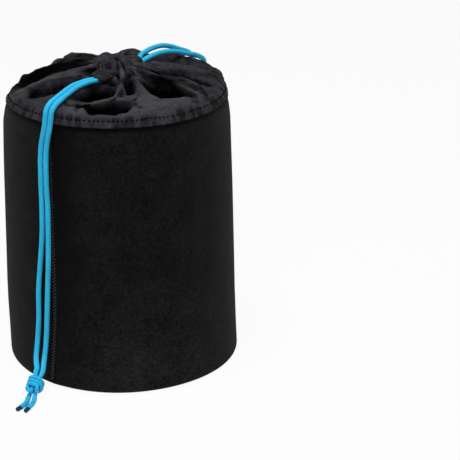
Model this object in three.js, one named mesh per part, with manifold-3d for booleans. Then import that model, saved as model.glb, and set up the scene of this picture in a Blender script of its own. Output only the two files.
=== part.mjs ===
// A soft pouch for one camera lens: a neoprene cup with a gathered nylon closure and two cords.
// Millimetres, +Z up, front is -Y, origin on the floor under the middle of the base.
import * as THREE from 'three';
import { mergeVertices } from 'three/addons/utils/BufferGeometryUtils.js';
import Module from 'manifold-3d';

const wasm = await Module();
wasm.setup();

// Clearances
const seat = 0.3; // between pieces that lie on each other
const overrun = 1; // how far a cutter runs past what it cuts

// Wall and base
const rimRadius = 62; // outside of the wall at its top edge
const baseRadius = 65; // outside of the wall just above its rounded foot
const wallHeight = 155; // top edge of the neoprene
const neoprene = 4.6; // thickness of the neoprene with its knit face
const footRadius = 9; // rounding between wall and base
const slitWidth = 0.6; // between the butted edges at the side seam
const bulgeShares = [[0.06, 1], [0.2, 0.62], [0.4, 0.27], [0.65, 0.1], [1, 0]]; // height, bulge
const lining = 0.9;
const bindingThickness = 0.8;
const bindingWidth = 7; // on the base, and again up the wall
const seamDegrees = -33.5; // from the front towards the right
const seamWidth = 5.5;
const seamThickness = 0.5;

// Hem: nylon turned over the top edge of the neoprene
const hemNylon = 0.6;
const hemLap = 4.4; // how far it reaches down the neoprene

// Gathered closure
const nylon = 0.7;
const skirtRise = 8.4; // from the hem to the highest ring between the folds
const foldHeight = 3.3; // of the largest fold above or below that
const domeShares = [[1, 0], [0.997, 0.22], [0.975, 0.48], [0.92, 0.72], [0.82, 0.9], [0.66, 1],
  [0.5, 0.98], [0.36, 0.72], [0.25, 0.56], [0.18, 0.53], [0.145, 0.53]]; // radius, height
const collarShare = 0.56; // height of the closure where the casing sits on it
const foldStart = 0.25; // share of the way to the casing over which a fold grows
const foldLean = 0.8; // below 1 the crest of a fold lies nearer the hem
const foldShares = [[-35, -1], [-15, -0.85], [-4, 0.4], [5, -0.3], [17, 1], [36, -1], [56, 0.9],
  [77, -0.6], [100, 0.75], [116, -0.9], [136, -1], [158, 0.7], [173, 0.8], [191, -0.5], [205, 0.7],
  [228, -0.2], [249, -0.9], [288, 0.9], [308, -0.6]]; // degrees from the front, height of the fold

// Casing round the mouth, and the cords in it
const cordDiameter = 2.8;
const cordSlack = 0.3; // round a cord inside the casing
const casingNylon = 0.6;
const loopRadius = 7.6; // middle of each cord's loop
const loopOpenDegrees = 38; // each way from the sleeve, where the loop turns out
const pleatDepth = 0.9; // of the gathers round the casing
const pleatCount = 18;
const spoutHalfWidth = 5.2; // inside of the sleeve that a pair of strands leaves by
const frontSpout = { degrees: -30, reach: 21, spread: 1.7 };
const rearSpout = { degrees: 120, reach: 14, spread: 1.9 };

// Knot: the doubled cord wound one and a half turns round itself and tucked through
const knotCord = 1.9; // the cord's diameter where the knot squeezes it
const knotGap = 0.62; // between strands in the knot
const knotTurns = 1.5;
const knotLead = 2.4; // straight run of the strands above and below the wraps
const tuckShares = [[0.12, 0.45], [0.55, 0.1]]; // out and up, where a strand turns into its wraps

// Smoothness
const roundSteps = 48;
const footSteps = 3;
const skirtSteps = 62; // round the closure
const skirtRows = 9; // from the hem to the casing
const pleatSteps = 4; // in each pleat
const loopSteps = 14;
const cordSides = 8;
const cordStep = 6.5; // along a free strand
const knotStep = 1.9;
const knotTurnSteps = 12;

const hemTop = wallHeight + seat + hemNylon;
const casingBottom = hemTop + 2 * seat + nylon + collarShare * skirtRise;
const tunnelBottom = casingBottom + casingNylon;
const lowerLoop = tunnelBottom + cordSlack + cordDiameter / 2;
const upperLoop = lowerLoop + cordDiameter + cordSlack;
const tunnelTop = upperLoop + cordDiameter / 2 + cordSlack;
const casingTop = tunnelTop + casingNylon;

const radians = (degrees) => THREE.MathUtils.degToRad(degrees);
const finish = (color, roughness) => new THREE.MeshStandardMaterial({ color, roughness, metalness: 0 });
const finishes = {
  knit: finish(0x191919, 0.9),
  plush: finish(0x1d1d20, 0.95),
  nylon: finish(0x2a292e, 0.6),
  thread: finish(0x101010, 0.8),
  cord: finish(0x2fb4e6, 0.65),
};

const pouch = new THREE.Group();

function add(name, geometry, material) {
  const mesh = new THREE.Mesh(geometry, material);
  mesh.name = name;
  pouch.add(mesh);
}

// Turns a closed surface so that its faces point out, and welds its shared corners.
function closed(positions, triangles) {
  const geometry = new THREE.BufferGeometry();
  geometry.setAttribute('position', new THREE.Float32BufferAttribute(positions, 3));
  geometry.setIndex(triangles);
  const welded = mergeVertices(geometry);
  const [a, b, c] = [new THREE.Vector3(), new THREE.Vector3(), new THREE.Vector3()];
  const at = welded.getAttribute('position');
  const index = welded.getIndex();
  let volume = 0;
  for (let i = 0; i < index.count; i += 3) {
    a.fromBufferAttribute(at, index.getX(i));
    b.fromBufferAttribute(at, index.getX(i + 1));
    c.fromBufferAttribute(at, index.getX(i + 2));
    volume += a.dot(b.cross(c));
  }
  if (volume < 0) {
    index.array.reverse();
  }
  return welded;
}

// Joins rings of points, each of the same number, into one body. Rings that don't close on
// themselves get flat ends, cut along the outline that they share.
function loft(rings, closes, caps) {
  const size = rings[0].length;
  const positions = rings.flat().flatMap((p) => [p.x, p.y, p.z]);
  const triangles = [];
  const last = closes ? rings.length : rings.length - 1;
  for (let i = 0; i < last; i++) {
    for (let j = 0; j < size; j++) {
      const here = i * size;
      const next = ((i + 1) % rings.length) * size;
      const k = (j + 1) % size;
      triangles.push(here + j, next + j, next + k, here + j, next + k, here + k);
    }
  }
  if (!closes) {
    const end = (rings.length - 1) * size;
    for (const [p, q, r] of caps) {
      triangles.push(p, q, r, end + p, end + r, end + q);
    }
  }
  return closed(positions, triangles);
}

// A point at a radius, an angle from the front and a height.
function around(radius, angle, height) {
  return new THREE.Vector3(radius * Math.sin(angle), -radius * Math.cos(angle), height);
}

// Sweeps an outline of radius and height round the pouch, all the way or part of it.
function sweep(outline, from = 0, turn = 2 * Math.PI) {
  const whole = turn === 2 * Math.PI;
  const steps = Math.max(3, Math.ceil((roundSteps * turn) / (2 * Math.PI)));
  const rings = [];
  for (let i = 0; i < (whole ? steps : steps + 1); i++) {
    const angle = from + (turn * i) / steps;
    rings.push(outline.map((p) => around(p.x, angle, p.y)));
  }
  const caps = THREE.ShapeUtils.triangulateShape(outline, []);
  if (THREE.ShapeUtils.isClockWise(outline)) {
    caps.forEach((corners) => corners.reverse());
  }
  return loft(rings, whole, caps);
}

// Wall and base

const seamCircle = baseRadius - footRadius; // where the wall meets the base

function wallRadius(height) {
  const share = height / wallHeight;
  const above = bulgeShares.findIndex(([h]) => h >= share);
  if (above <= 0) {
    return baseRadius;
  }
  const [h0, b0] = bulgeShares[above - 1];
  const [h1, b1] = bulgeShares[above];
  const bulge = THREE.MathUtils.mapLinear(share, h0, h1, b0, b1);
  return rimRadius + (baseRadius - rimRadius) * bulge;
}

// The line a set depth inside the outer face, from a radius on the base up to a height.
function wallLine(depth, start, top) {
  const line = [new THREE.Vector2(start, depth)];
  const radius = footRadius - depth;
  for (let i = 0; i <= footSteps; i++) {
    const angle = ((i / footSteps) * Math.PI) / 2;
    const [out, down] = [radius * Math.sin(angle), radius * Math.cos(angle)];
    line.push(new THREE.Vector2(seamCircle + out, footRadius - down));
  }
  for (const [share] of bulgeShares) {
    const height = share * wallHeight;
    if (height > footRadius && height < top) {
      line.push(new THREE.Vector2(wallRadius(height) - depth, height));
    }
  }
  line.push(new THREE.Vector2(wallRadius(top) - depth, top));
  return line.filter((p, i) => i === 0 || p.distanceTo(line[i - 1]) > seat / 10);
}

function layer(depth, thickness, start, top) {
  return [...wallLine(depth, start, top), ...wallLine(depth + thickness, start, top).reverse()];
}

function disc(radius, bottom, thickness) {
  const geometry = new THREE.CylinderGeometry(radius, radius, thickness, roundSteps);
  geometry.rotateX(Math.PI / 2);
  geometry.translate(0, 0, bottom + thickness / 2);
  geometry.deleteAttribute('normal');
  geometry.deleteAttribute('uv');
  return mergeVertices(geometry);
}

function addCup() {
  const slit = slitWidth / rimRadius;
  const seamAt = radians(seamDegrees);
  const panel = layer(0, neoprene, seamCircle, wallHeight);
  add('wall_panel', sweep(panel, seamAt + slit / 2, 2 * Math.PI - slit), finishes.knit);
  const liningTop = wallHeight - hemLap - seat;
  const liningDepth = neoprene + seat;
  add('wall_lining', sweep(layer(liningDepth, lining, seamCircle, liningTop)), finishes.plush);
  add('base_disc', disc(seamCircle - seat, 0, neoprene), finishes.knit);
  add('base_lining', disc(seamCircle - seat, liningDepth, lining), finishes.plush);
  const bindingDepth = liningDepth + lining + seat;
  const [inner, upper] = [seamCircle - bindingWidth, footRadius + bindingWidth];
  add('base_binding', sweep(layer(bindingDepth, bindingThickness, inner, upper)), finishes.nylon);
  const band = [];
  for (const depth of [-seat - seamThickness, -seat]) {
    const line = wallLine(depth, seamCircle, liningTop).filter((p) => p.y >= footRadius);
    band.push(...(depth === -seat ? line.reverse() : line));
  }
  const seamTurn = seamWidth / rimRadius;
  add('side_seam', sweep(band, seamAt - seamTurn / 2, seamTurn), finishes.thread);
}

// Hem

function addHem() {
  const bottom = wallHeight - hemLap;
  const outer = rimRadius + seat;
  const inner = rimRadius - neoprene - seat;
  const outline = [
    [outer + hemNylon, bottom],
    [outer + hemNylon, hemTop],
    [inner - hemNylon, hemTop],
    [inner - hemNylon, bottom],
    [inner, bottom],
    [inner, hemTop - hemNylon],
    [outer, hemTop - hemNylon],
    [outer, bottom],
  ].map(([x, y]) => new THREE.Vector2(x, y));
  add('skirt_hem', sweep(outline), finishes.nylon);
}

// Closure

// The height of the folds round the pouch, as a share, smooth between the listed ones.
function foldAt(angle) {
  const turn = 360;
  const first = foldShares[0][0];
  const degrees = THREE.MathUtils.euclideanModulo(THREE.MathUtils.radToDeg(angle) - first, turn) + first;
  const list = [...foldShares, [first + turn, foldShares[0][1]]];
  const next = list.findIndex(([d]) => d > degrees);
  const [d0, f0] = list[next - 1];
  const [d1, f1] = list[next];
  const blend = (1 - Math.cos((Math.PI * (degrees - d0)) / (d1 - d0))) / 2;
  return f0 + (f1 - f0) * blend;
}

function addSkirt() {
  const line = new THREE.SplineCurve(domeShares.map(([r, h]) =>
    new THREE.Vector2(r * rimRadius, hemTop + seat + h * (skirtRise - seat))));
  const rings = [];
  for (let i = 0; i < skirtSteps; i++) {
    const angle = (2 * Math.PI * i) / skirtSteps;
    const fold = foldHeight * foldAt(angle);
    const top = [];
    const under = [];
    for (let row = 0; row <= skirtRows; row++) {
      const run = row / skirtRows;
      const p = line.getPoint(run);
      const lift = fold * Math.sin(Math.PI * run ** foldLean) * Math.min(1, run / foldStart);
      const inward = nylon * Math.abs(line.getTangent(run).y);
      top.push(around(p.x, angle, p.y + lift + (row ? nylon : 0)));
      under.push(around(p.x - inward, angle, p.y + lift));
    }
    rings.push([...top, ...under.reverse()]);
  }
  add('closure_skirt', loft(rings, true, []), finishes.nylon);
}

// Casing

function solid(geometry) {
  const at = geometry.getAttribute('position');
  return new wasm.Manifold(new wasm.Mesh({
    numProp: 3,
    vertProperties: new Float32Array(at.array),
    triVerts: new Uint32Array(geometry.getIndex().array),
  }));
}

function geometryOf(manifold) {
  const mesh = manifold.getMesh();
  const geometry = new THREE.BufferGeometry();
  geometry.setAttribute('position', new THREE.BufferAttribute(mesh.vertProperties, 3));
  geometry.setIndex(new THREE.BufferAttribute(mesh.triVerts, 1));
  return geometry;
}

// A ring of rectangular section whose sides are gathered into pleats of a given depth.
function gatheredRing(halfWidth, bottom, top, pleat) {
  const steps = pleat ? pleatCount * pleatSteps : roundSteps / 2;
  const rings = [];
  for (let i = 0; i < steps; i++) {
    const angle = (2 * Math.PI * i) / steps;
    const swell = (pleat * (1 + Math.cos(pleatCount * angle))) / 2;
    const reach = halfWidth + swell;
    const round = halfWidth / 3;
    rings.push([
      around(loopRadius - reach + round, angle, bottom),
      around(loopRadius + reach - round, angle, bottom),
      around(loopRadius + reach, angle, bottom + round),
      around(loopRadius + reach, angle, top - round),
      around(loopRadius + reach - round, angle, top),
      around(loopRadius - reach + round, angle, top),
      around(loopRadius - reach, angle, top - round),
      around(loopRadius - reach, angle, bottom + round),
    ]);
  }
  return solid(loft(rings, true, []));
}

// A flat sleeve that runs out from the loop, for a pair of strands.
function sleeve(spout, height, wall, reach) {
  const width = 2 * (spoutHalfWidth + wall);
  const tall = cordDiameter + 2 * (cordSlack + wall);
  const length = reach - loopRadius;
  const geometry = new THREE.BoxGeometry(width, length, tall);
  geometry.translate(0, -loopRadius - length / 2, height);
  geometry.rotateZ(radians(spout.degrees));
  geometry.deleteAttribute('normal');
  geometry.deleteAttribute('uv');
  return solid(mergeVertices(geometry));
}

function addCasing() {
  const tunnelHalf = cordDiameter / 2 + cordSlack;
  const spouts = [[frontSpout, lowerLoop], [rearSpout, upperLoop]];
  let casing = gatheredRing(tunnelHalf + casingNylon, casingBottom, casingTop, pleatDepth);
  for (const [spout, height] of spouts) {
    casing = casing.add(sleeve(spout, height, casingNylon, spout.reach));
  }
  casing = casing.subtract(gatheredRing(tunnelHalf, tunnelBottom, tunnelTop, 0));
  for (const [spout, height] of spouts) {
    casing = casing.subtract(sleeve(spout, height, 0, spout.reach + overrun));
  }
  add('drawstring_casing', geometryOf(casing), finishes.nylon);
}

// Cords

// A cord along a curve through points, with a round section.
function cord(points, diameter, step) {
  const path = new THREE.CatmullRomCurve3(points, false, 'centripetal');
  const section = new THREE.Shape();
  for (let i = 0; i < cordSides; i++) {
    const angle = (2 * Math.PI * i) / cordSides;
    const [x, y] = [(Math.cos(angle) * diameter) / 2, (Math.sin(angle) * diameter) / 2];
    if (i) {
      section.lineTo(x, y);
    } else {
      section.moveTo(x, y);
    }
  }
  const steps = Math.ceil(path.getLength() / step);
  const geometry = new THREE.ExtrudeGeometry(section, { steps, extrudePath: path, bevelEnabled: false });
  geometry.deleteAttribute('normal');
  geometry.deleteAttribute('uv');
  const welded = mergeVertices(geometry);
  return closed(welded.getAttribute('position').array, [...welded.getIndex().array]);
}

// A point a distance out along a sleeve and to the side of its middle.
function sleevePoint(spout, out, across, height) {
  const point = new THREE.Vector3(across, -out, height);
  return point.applyAxisAngle(new THREE.Vector3(0, 0, 1), radians(spout.degrees));
}

// The loop of a cord in the casing, with both ends turned out through the sleeve.
function loopPoints(spout, height) {
  const place = (out, across) => sleevePoint(spout, out, across, height);
  const points = [];
  const open = radians(loopOpenDegrees);
  for (let i = 0; i <= loopSteps; i++) {
    const angle = open + (2 * (Math.PI - open) * i) / loopSteps;
    points.push(place(loopRadius * Math.cos(angle), loopRadius * Math.sin(angle)));
  }
  const turnOut = loopRadius + cordSlack;
  const inSleeve = (loopRadius + spout.reach) / 2;
  const widest = spoutHalfWidth - cordDiameter / 2 - 3 * cordSlack;
  const end = (side) => [
    place(turnOut, side * widest),
    place(inSleeve, side * spout.spread),
    place(spout.reach - cordDiameter, side * spout.spread),
    place(spout.reach, side * spout.spread),
  ];
  return [...end(1).reverse(), ...points, ...end(-1)];
}

// One strand through the knot, about a local axis: in from above, wound up and out below.
function knotPoints(strand) {
  const apart = knotCord + knotGap;
  const coreRadius = apart / Math.SQRT2;
  const endRadius = (cordDiameter + knotGap) / Math.SQRT2;
  const rise = 2 * apart;
  const start = (strand * Math.PI) / 2;
  const finish = start + knotTurns * 2 * Math.PI;
  const lowest = apart / 2 - strand * apart - (knotTurns * rise) / 2;
  const height = (angle) => lowest + (rise * angle) / (2 * Math.PI);
  const place = (radius, angle, z) =>
    new THREE.Vector3(radius * Math.cos(angle), -radius * Math.sin(angle), z);
  const top = height(finish) + apart;
  const bottom = height(start) - apart;
  const end = (knotTurns + 1) * apart + knotLead;
  const tuck = (angle, edge, way) => tuckShares.map(([out, up]) =>
    place(coreRadius + out * apart, angle, edge + way * up * apart));
  const wraps = [];
  for (let i = 1; i < knotTurns * knotTurnSteps; i++) {
    const angle = start + (i * 2 * Math.PI) / knotTurnSteps;
    wraps.push(place(coreRadius + apart, angle, height(angle)));
  }
  return [
    place(endRadius, start, end),
    place(coreRadius, start, top / 2),
    place(coreRadius, start, bottom / 2),
    ...tuck(start, bottom, 1),
    ...wraps,
    ...tuck(finish, top, -1).reverse(),
    place(coreRadius, finish, top / 2),
    place(coreRadius, finish, bottom / 2),
    place(endRadius, finish, -end),
  ];
}

// Least distance between the surfaces of stretches of cord that aren't next to each other.
function leastGap(curves, diameter) {
  const sampled = curves.map((points) => {
    const path = new THREE.CatmullRomCurve3(points, false, 'centripetal');
    const count = Math.round(path.getLength() / (diameter / 4));
    return { points: path.getSpacedPoints(count), step: path.getLength() / count };
  });
  let least = Infinity;
  sampled.forEach((one, a) => sampled.slice(a).forEach((other, b) => {
    one.points.forEach((p, i) => other.points.forEach((q, j) => {
      if (b > 0 || Math.abs(i - j) * one.step > diameter * 3) {
        least = Math.min(least, p.distanceTo(q) - diameter);
      }
    }));
  }));
  return least;
}

// Routes of the free strands, as they lie. Each run goes from the casing over the closure to the
// shoulder, each drop from there down the wall to the knot, and each tail from the knot to its tip.
const cords = [
  {
    name: 'front_cord',
    spout: frontSpout,
    loop: lowerLoop,
    knot: { centre: [-47.9, -67.4, 7.4], axis: [0.24, 0.85, 0.47], roll: -45 },
    strands: [
      {
        side: 'right',
        run: [[-13.5, -23.9, 164.4], [-17.9, -29.5, 164.5], [-21.3, -34.5, 164.3], [-25, -41, 163.4],
          [-28.6, -47.4, 162.2], [-31.6, -52.8, 161], [-33.7, -55.1, 158.2], [-34.4, -55, 154]],
        drop: [[-34.4, -55, 153.7], [-35, -54.6, 150], [-37.4, -53, 137], [-38.1, -52.6, 120],
          [-37.9, -52.9, 104], [-38.2, -52.8, 89], [-38.8, -52.7, 72], [-39.7, -52.3, 57],
          [-40.9, -52.4, 37], [-41.9, -52.7, 24.5], [-43, -54.1, 17]],
        tail: [[-53.8, -80.2, 2.2], [-57.2, -84.8, 1.9]],
      },
      {
        side: 'left',
        run: [[-16.3, -22, 164.4], [-20.7, -27.6, 164.5], [-24.2, -32.6, 164.3], [-27.9, -39.2, 163.4],
          [-31.5, -45.6, 162.2], [-34.6, -50.9, 161], [-36.5, -53.2, 158.2], [-37.2, -53.2, 154]],
        drop: [[-37.2, -53.2, 153.7], [-37.7, -52.9, 150], [-40.2, -50.8, 137], [-41, -50.3, 120],
          [-41, -50.4, 104], [-41.5, -50.2, 89], [-43.1, -49.2, 72], [-44.6, -48.3, 57],
          [-45.4, -48.5, 37], [-46.6, -49.3, 24.5], [-47.5, -52.8, 17]],
        tail: [[-50.2, -81.2, 2.2], [-52.6, -86.8, 1.9]],
      },
    ],
  },
  {
    name: 'rear_cord',
    spout: rearSpout,
    loop: upperLoop,
    knot: { centre: [57, 50.5, 7.4], axis: [-0.67, -0.59, 0.45], roll: 86 },
    strands: [
      {
        side: 'right',
        run: [[13.6, 14, 168.2], [19, 24, 169], [26, 33, 168.6], [31.4, 37.6, 166.8],
          [36.6, 41.6, 164], [41.4, 46.1, 161.1], [44.4, 47.7, 157.8], [44.9, 47.1, 154]],
        drop: [[44.9, 47.1, 153.7], [45, 46.9, 150], [45.7, 46, 137], [46.2, 45.7, 120],
          [46.4, 45.6, 104], [46.2, 45.9, 89], [46.2, 46.4, 72], [46.6, 46.5, 57], [47.4, 46.5, 37],
          [48.1, 46.6, 25], [48.2, 47.2, 17]],
        tail: [[66.4, 58.4, 2.2], [67, 64.5, 1.9], [65, 71, 1.9]],
      },
      {
        side: 'left',
        run: [[17.6, 8.8, 168.2], [22, 14, 168.8], [28.4, 20, 168.6], [34.6, 25.2, 167],
          [40, 29.8, 164.6], [45.8, 35.8, 161.9], [49.8, 40.1, 158.2], [50.5, 40.9, 154]],
        drop: [[50.5, 40.9, 153.7], [50.3, 41, 150], [49.5, 41.9, 137], [48.9, 42.8, 120],
          [48.9, 42.9, 104], [49.2, 42.8, 89], [49.8, 42.4, 72], [50.3, 42.4, 57], [50.7, 42.9, 37],
          [51, 43.5, 25], [51.3, 44.2, 17]],
        tail: [[63, 60.8, 2.2], [61.8, 67, 1.9], [58, 72.6, 1.9]],
      },
    ],
  },
];

function addCord({ name, spout, loop, knot, strands }) {
  add(`${name}_loop`, cord(loopPoints(spout, loop), cordDiameter, cordDiameter), finishes.cord);
  const up = new THREE.Vector3(0, 0, 1);
  const axis = new THREE.Vector3(...knot.axis).normalize();
  const turn = new THREE.Quaternion().setFromUnitVectors(up, axis);
  const centre = new THREE.Vector3(...knot.centre);
  strands.forEach((strand, i) => {
    const side = strand.side === 'right' ? 1 : -1;
    const leave = [seat, seat + cordDiameter / 2].map((out) =>
      sleevePoint(spout, spout.reach + out, side * spout.spread, loop));
    const tied = knotPoints(i).map((p) =>
      p.applyAxisAngle(up, radians(knot.roll)).applyQuaternion(turn).add(centre));
    const meet = (end, way) => [seat, seat + cordDiameter / 2].map((away) =>
      end.clone().addScaledVector(axis, way * away));
    const points = (list) => list.map((p) => new THREE.Vector3(...p));
    const stretches = {
      run: cord([...leave, ...points(strand.run)], cordDiameter, cordStep),
      drop: cord([...points(strand.drop), ...meet(tied[0], 1).reverse()], cordDiameter, cordStep),
      knot: cord(tied, knotCord, knotStep),
      tail: cord([...meet(tied.at(-1), -1), ...points(strand.tail)], cordDiameter, cordStep),
    };
    for (const [stretch, geometry] of Object.entries(stretches)) {
      add(`${name}_${strand.side}_${stretch}`, geometry, finishes.cord);
    }
  });
}

pouch.name = 'pouch';
addCup();
addHem();
addSkirt();
addCasing();
cords.forEach(addCord);

console.log('least gap in the knot', leastGap([knotPoints(0), knotPoints(1)], knotCord).toFixed(2), 'mm');

export default pouch;
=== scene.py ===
# %% [markdown]
# A soft pouch for one camera lens. It is a cup of neoprene, closed at the top by gathered nylon.
# Two blue cords draw the nylon together, and each ends in a knot.
# The CAD model is a fixed frame: every piece below is made round it, in metres, with +Z up.

# %% Load the frame
import math
from contextlib import contextmanager

import bpy
import numpy as np
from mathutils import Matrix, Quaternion, Vector, noise


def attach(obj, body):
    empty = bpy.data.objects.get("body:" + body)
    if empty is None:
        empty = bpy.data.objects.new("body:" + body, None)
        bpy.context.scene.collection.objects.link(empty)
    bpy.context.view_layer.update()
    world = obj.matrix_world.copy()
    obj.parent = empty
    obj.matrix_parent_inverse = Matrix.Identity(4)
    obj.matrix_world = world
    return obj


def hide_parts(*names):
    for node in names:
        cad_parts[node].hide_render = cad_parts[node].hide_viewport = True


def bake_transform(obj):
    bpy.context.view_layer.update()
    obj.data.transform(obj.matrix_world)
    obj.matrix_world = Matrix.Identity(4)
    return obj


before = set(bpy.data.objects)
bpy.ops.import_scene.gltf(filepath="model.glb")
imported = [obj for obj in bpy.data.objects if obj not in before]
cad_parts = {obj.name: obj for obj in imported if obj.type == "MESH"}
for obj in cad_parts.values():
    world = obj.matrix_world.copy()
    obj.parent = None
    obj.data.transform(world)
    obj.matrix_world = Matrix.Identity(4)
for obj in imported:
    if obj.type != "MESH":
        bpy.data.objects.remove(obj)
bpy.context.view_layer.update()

MM = 0.001

# %% [markdown]
# The camera comes first, because everything is judged through it. It stands where the photograph
# was taken from, about 0.9 m in front of the pouch and 0.4 m above the table, and looks down by
# 21 degrees. A long lens keeps the pouch's sides nearly parallel.

# %% Camera
CAMERA_PLACE = (0, -0.90785, 0.4177)
CAMERA_PAN, CAMERA_TILT = 0.0685, 0.3661
SENSOR_WIDTH, FOCAL_LENGTH = 36, 134.2
camera_data = bpy.data.cameras.new("camera")
camera_data.sensor_width = SENSOR_WIDTH
camera_data.lens = FOCAL_LENGTH
camera = bpy.data.objects.new("camera", camera_data)
camera.location = CAMERA_PLACE
camera.rotation_euler = (math.pi / 2 - CAMERA_TILT, 0, -CAMERA_PAN)
bpy.context.collection.objects.link(camera)
bpy.context.scene.camera = camera
print("camera", [round(x, 4) for x in camera.location], "lens", camera_data.lens)

# %% [markdown]
# A cord is a tube along a smooth curve. The same two helpers serve every cord, knot and loop: one
# draws an even curve through a few route points, and one wraps rings of points round that curve.
# A real cord is braided, so its surface isn't a plain cylinder: two families of yarn cross and
# leave small diamonds. The tube's radius follows that pattern, and its UV map holds the turn
# round the cord and the distance along it, so that the colour can follow the braid too.

# %% Curve and tube helpers
def distance_along(path):
    return np.concatenate([[0], np.cumsum(np.linalg.norm(np.diff(path, axis=0), axis=1))])


def smooth_path(points, step):
    """An even path through the points, along a centripetal Catmull-Rom curve."""
    p = np.array(points, dtype=float)
    p = np.vstack([2 * p[0] - p[1], p, 2 * p[-1] - p[-2]])
    dense = []
    for i in range(1, len(p) - 2):
        p0, p1, p2, p3 = p[i - 1:i + 3]
        k = [max(np.linalg.norm(b - a), 1e-6) ** 0.5 for a, b in ((p0, p1), (p1, p2), (p2, p3))]
        m1 = (p1 - p0) / k[0] - (p2 - p0) / (k[0] + k[1]) + (p2 - p1) / k[1]
        m2 = (p2 - p1) / k[1] - (p3 - p1) / (k[1] + k[2]) + (p3 - p2) / k[2]
        m1, m2 = m1 * k[1], m2 * k[1]
        t = np.linspace(0, 1, 24, endpoint=False)[:, None]
        dense.append((2 * t**3 - 3 * t**2 + 1) * p1 + (t**3 - 2 * t**2 + t) * m1
                     + (3 * t**2 - 2 * t**3) * p2 + (t**3 - t**2) * m2)
    dense = np.vstack(dense + [p[-2:-1]])
    along = distance_along(dense)
    count = max(2, int(round(along[-1] / step)) + 1)
    even = np.linspace(0, along[-1], count)
    return np.column_stack([np.interp(even, along, dense[:, i]) for i in range(3)])


def path_length(path):
    return float(np.linalg.norm(np.diff(path, axis=0), axis=1).sum())


def path_frames(path):
    """A direction and two cross directions at each point, turned as little as possible."""
    tangent = np.gradient(path, axis=0)
    tangent /= np.linalg.norm(tangent, axis=1)[:, None]
    side = np.cross(tangent[0], (0.31, 0.17, 0.94))
    sides = []
    for t in tangent:
        side = side - t * side.dot(t)
        side = side / np.linalg.norm(side)
        sides.append(side)
    sides = np.array(sides)
    return tangent, sides, np.cross(tangent, sides)


def make_mesh(name, points, faces, uvs=None, values=None, whole_turn=1.0):
    """A smooth mesh object from arrays, with a UV for each point and named point values."""
    mesh = bpy.data.meshes.new(name)
    mesh.from_pydata([tuple(p) for p in points], [], faces)
    mesh.polygons.foreach_set("use_smooth", [True] * len(mesh.polygons))
    if uvs is not None:
        corner = np.empty(len(mesh.loops), dtype=int)
        mesh.loops.foreach_get("vertex_index", corner)
        corner_uv = np.asarray(uvs)[corner]
        for face in mesh.polygons:
            span = corner_uv[face.loop_start:face.loop_start + face.loop_total]
            if face.loop_total == 4 and np.ptp(span[:, 0]) > whole_turn / 2:
                span[span[:, 0] < whole_turn / 2, 0] += whole_turn
        mesh.uv_layers.new(name="UVMap").data.foreach_set("uv", corner_uv.ravel())
    for label, data in (values or {}).items():
        mesh.attributes.new(label, "FLOAT", "POINT").data.foreach_set("value", list(data))
    mesh.update()
    piece = bpy.data.objects.new(name, mesh)
    bpy.context.collection.objects.link(piece)
    return piece


CORD, BRAID_PITCH = 2.8 * MM, 2.6 * MM
CORD_SIDES, YARNS = 32, 8
BRAID_DEPTH = 0.055


def tube(path, radius, tip=None):
    """Points, faces, UVs and tip shares of a braided tube with closed ends."""
    _, side, up = path_frames(path)
    along = distance_along(path)
    radius = np.broadcast_to(radius, len(path))
    turn = np.linspace(0, 1, CORD_SIDES + 1)
    u, v = np.meshgrid(turn, along / BRAID_PITCH)
    diamonds = np.sqrt(np.abs(np.sin(math.pi * (YARNS * u + v))
                              * np.sin(math.pi * (YARNS * u - v))))
    share = np.zeros(len(path)) if tip is None else tip
    swell = radius[:, None] * (1 + BRAID_DEPTH * (diamonds - 0.6) * (1 - share[:, None]))
    angle = 2 * math.pi * u
    rings = path[:, None] + swell[..., None] * (
        np.cos(angle)[..., None] * side[:, None] + np.sin(angle)[..., None] * up[:, None])
    points = rings[:, :-1].reshape(-1, 3)
    uvs = np.stack([u[:, :-1], np.broadcast_to(along[:, None], u[:, :-1].shape)], axis=-1)
    n = CORD_SIDES
    faces = [(i * n + j, i * n + (j + 1) % n, (i + 1) * n + (j + 1) % n, (i + 1) * n + j)
             for i in range(len(path) - 1) for j in range(n)]
    faces += [tuple(range(n - 1, -1, -1)), tuple((len(path) - 1) * n + j for j in range(n))]
    return points, faces, uvs.reshape(-1, 2), np.repeat(share, n)


def tube_piece(name, tubes):
    """One object from several tubes."""
    points, faces, uvs, tips = [], [], [], []
    for part in tubes:
        offset = sum(len(p) for p in points)
        points.append(part[0])
        faces += [tuple(i + offset for i in face) for face in part[1]]
        uvs.append(part[2])
        tips.append(part[3])
    return make_mesh(name, np.vstack(points), faces, np.vstack(uvs), {"tip": np.concatenate(tips)})


print("braid", CORD_SIDES, "sides, pitch", BRAID_PITCH / MM, "mm")

# %% [markdown]
# Each cord runs in a loop through the casing round the mouth, and both of its strands leave by
# the same sleeve. The front pair falls over the shoulder and down the wall beside the seam, a
# little apart, until its knot gathers it on the table. The rear pair springs up in two arches
# before it falls behind the pouch. The routes are those of the CAD model, in metres.

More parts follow.
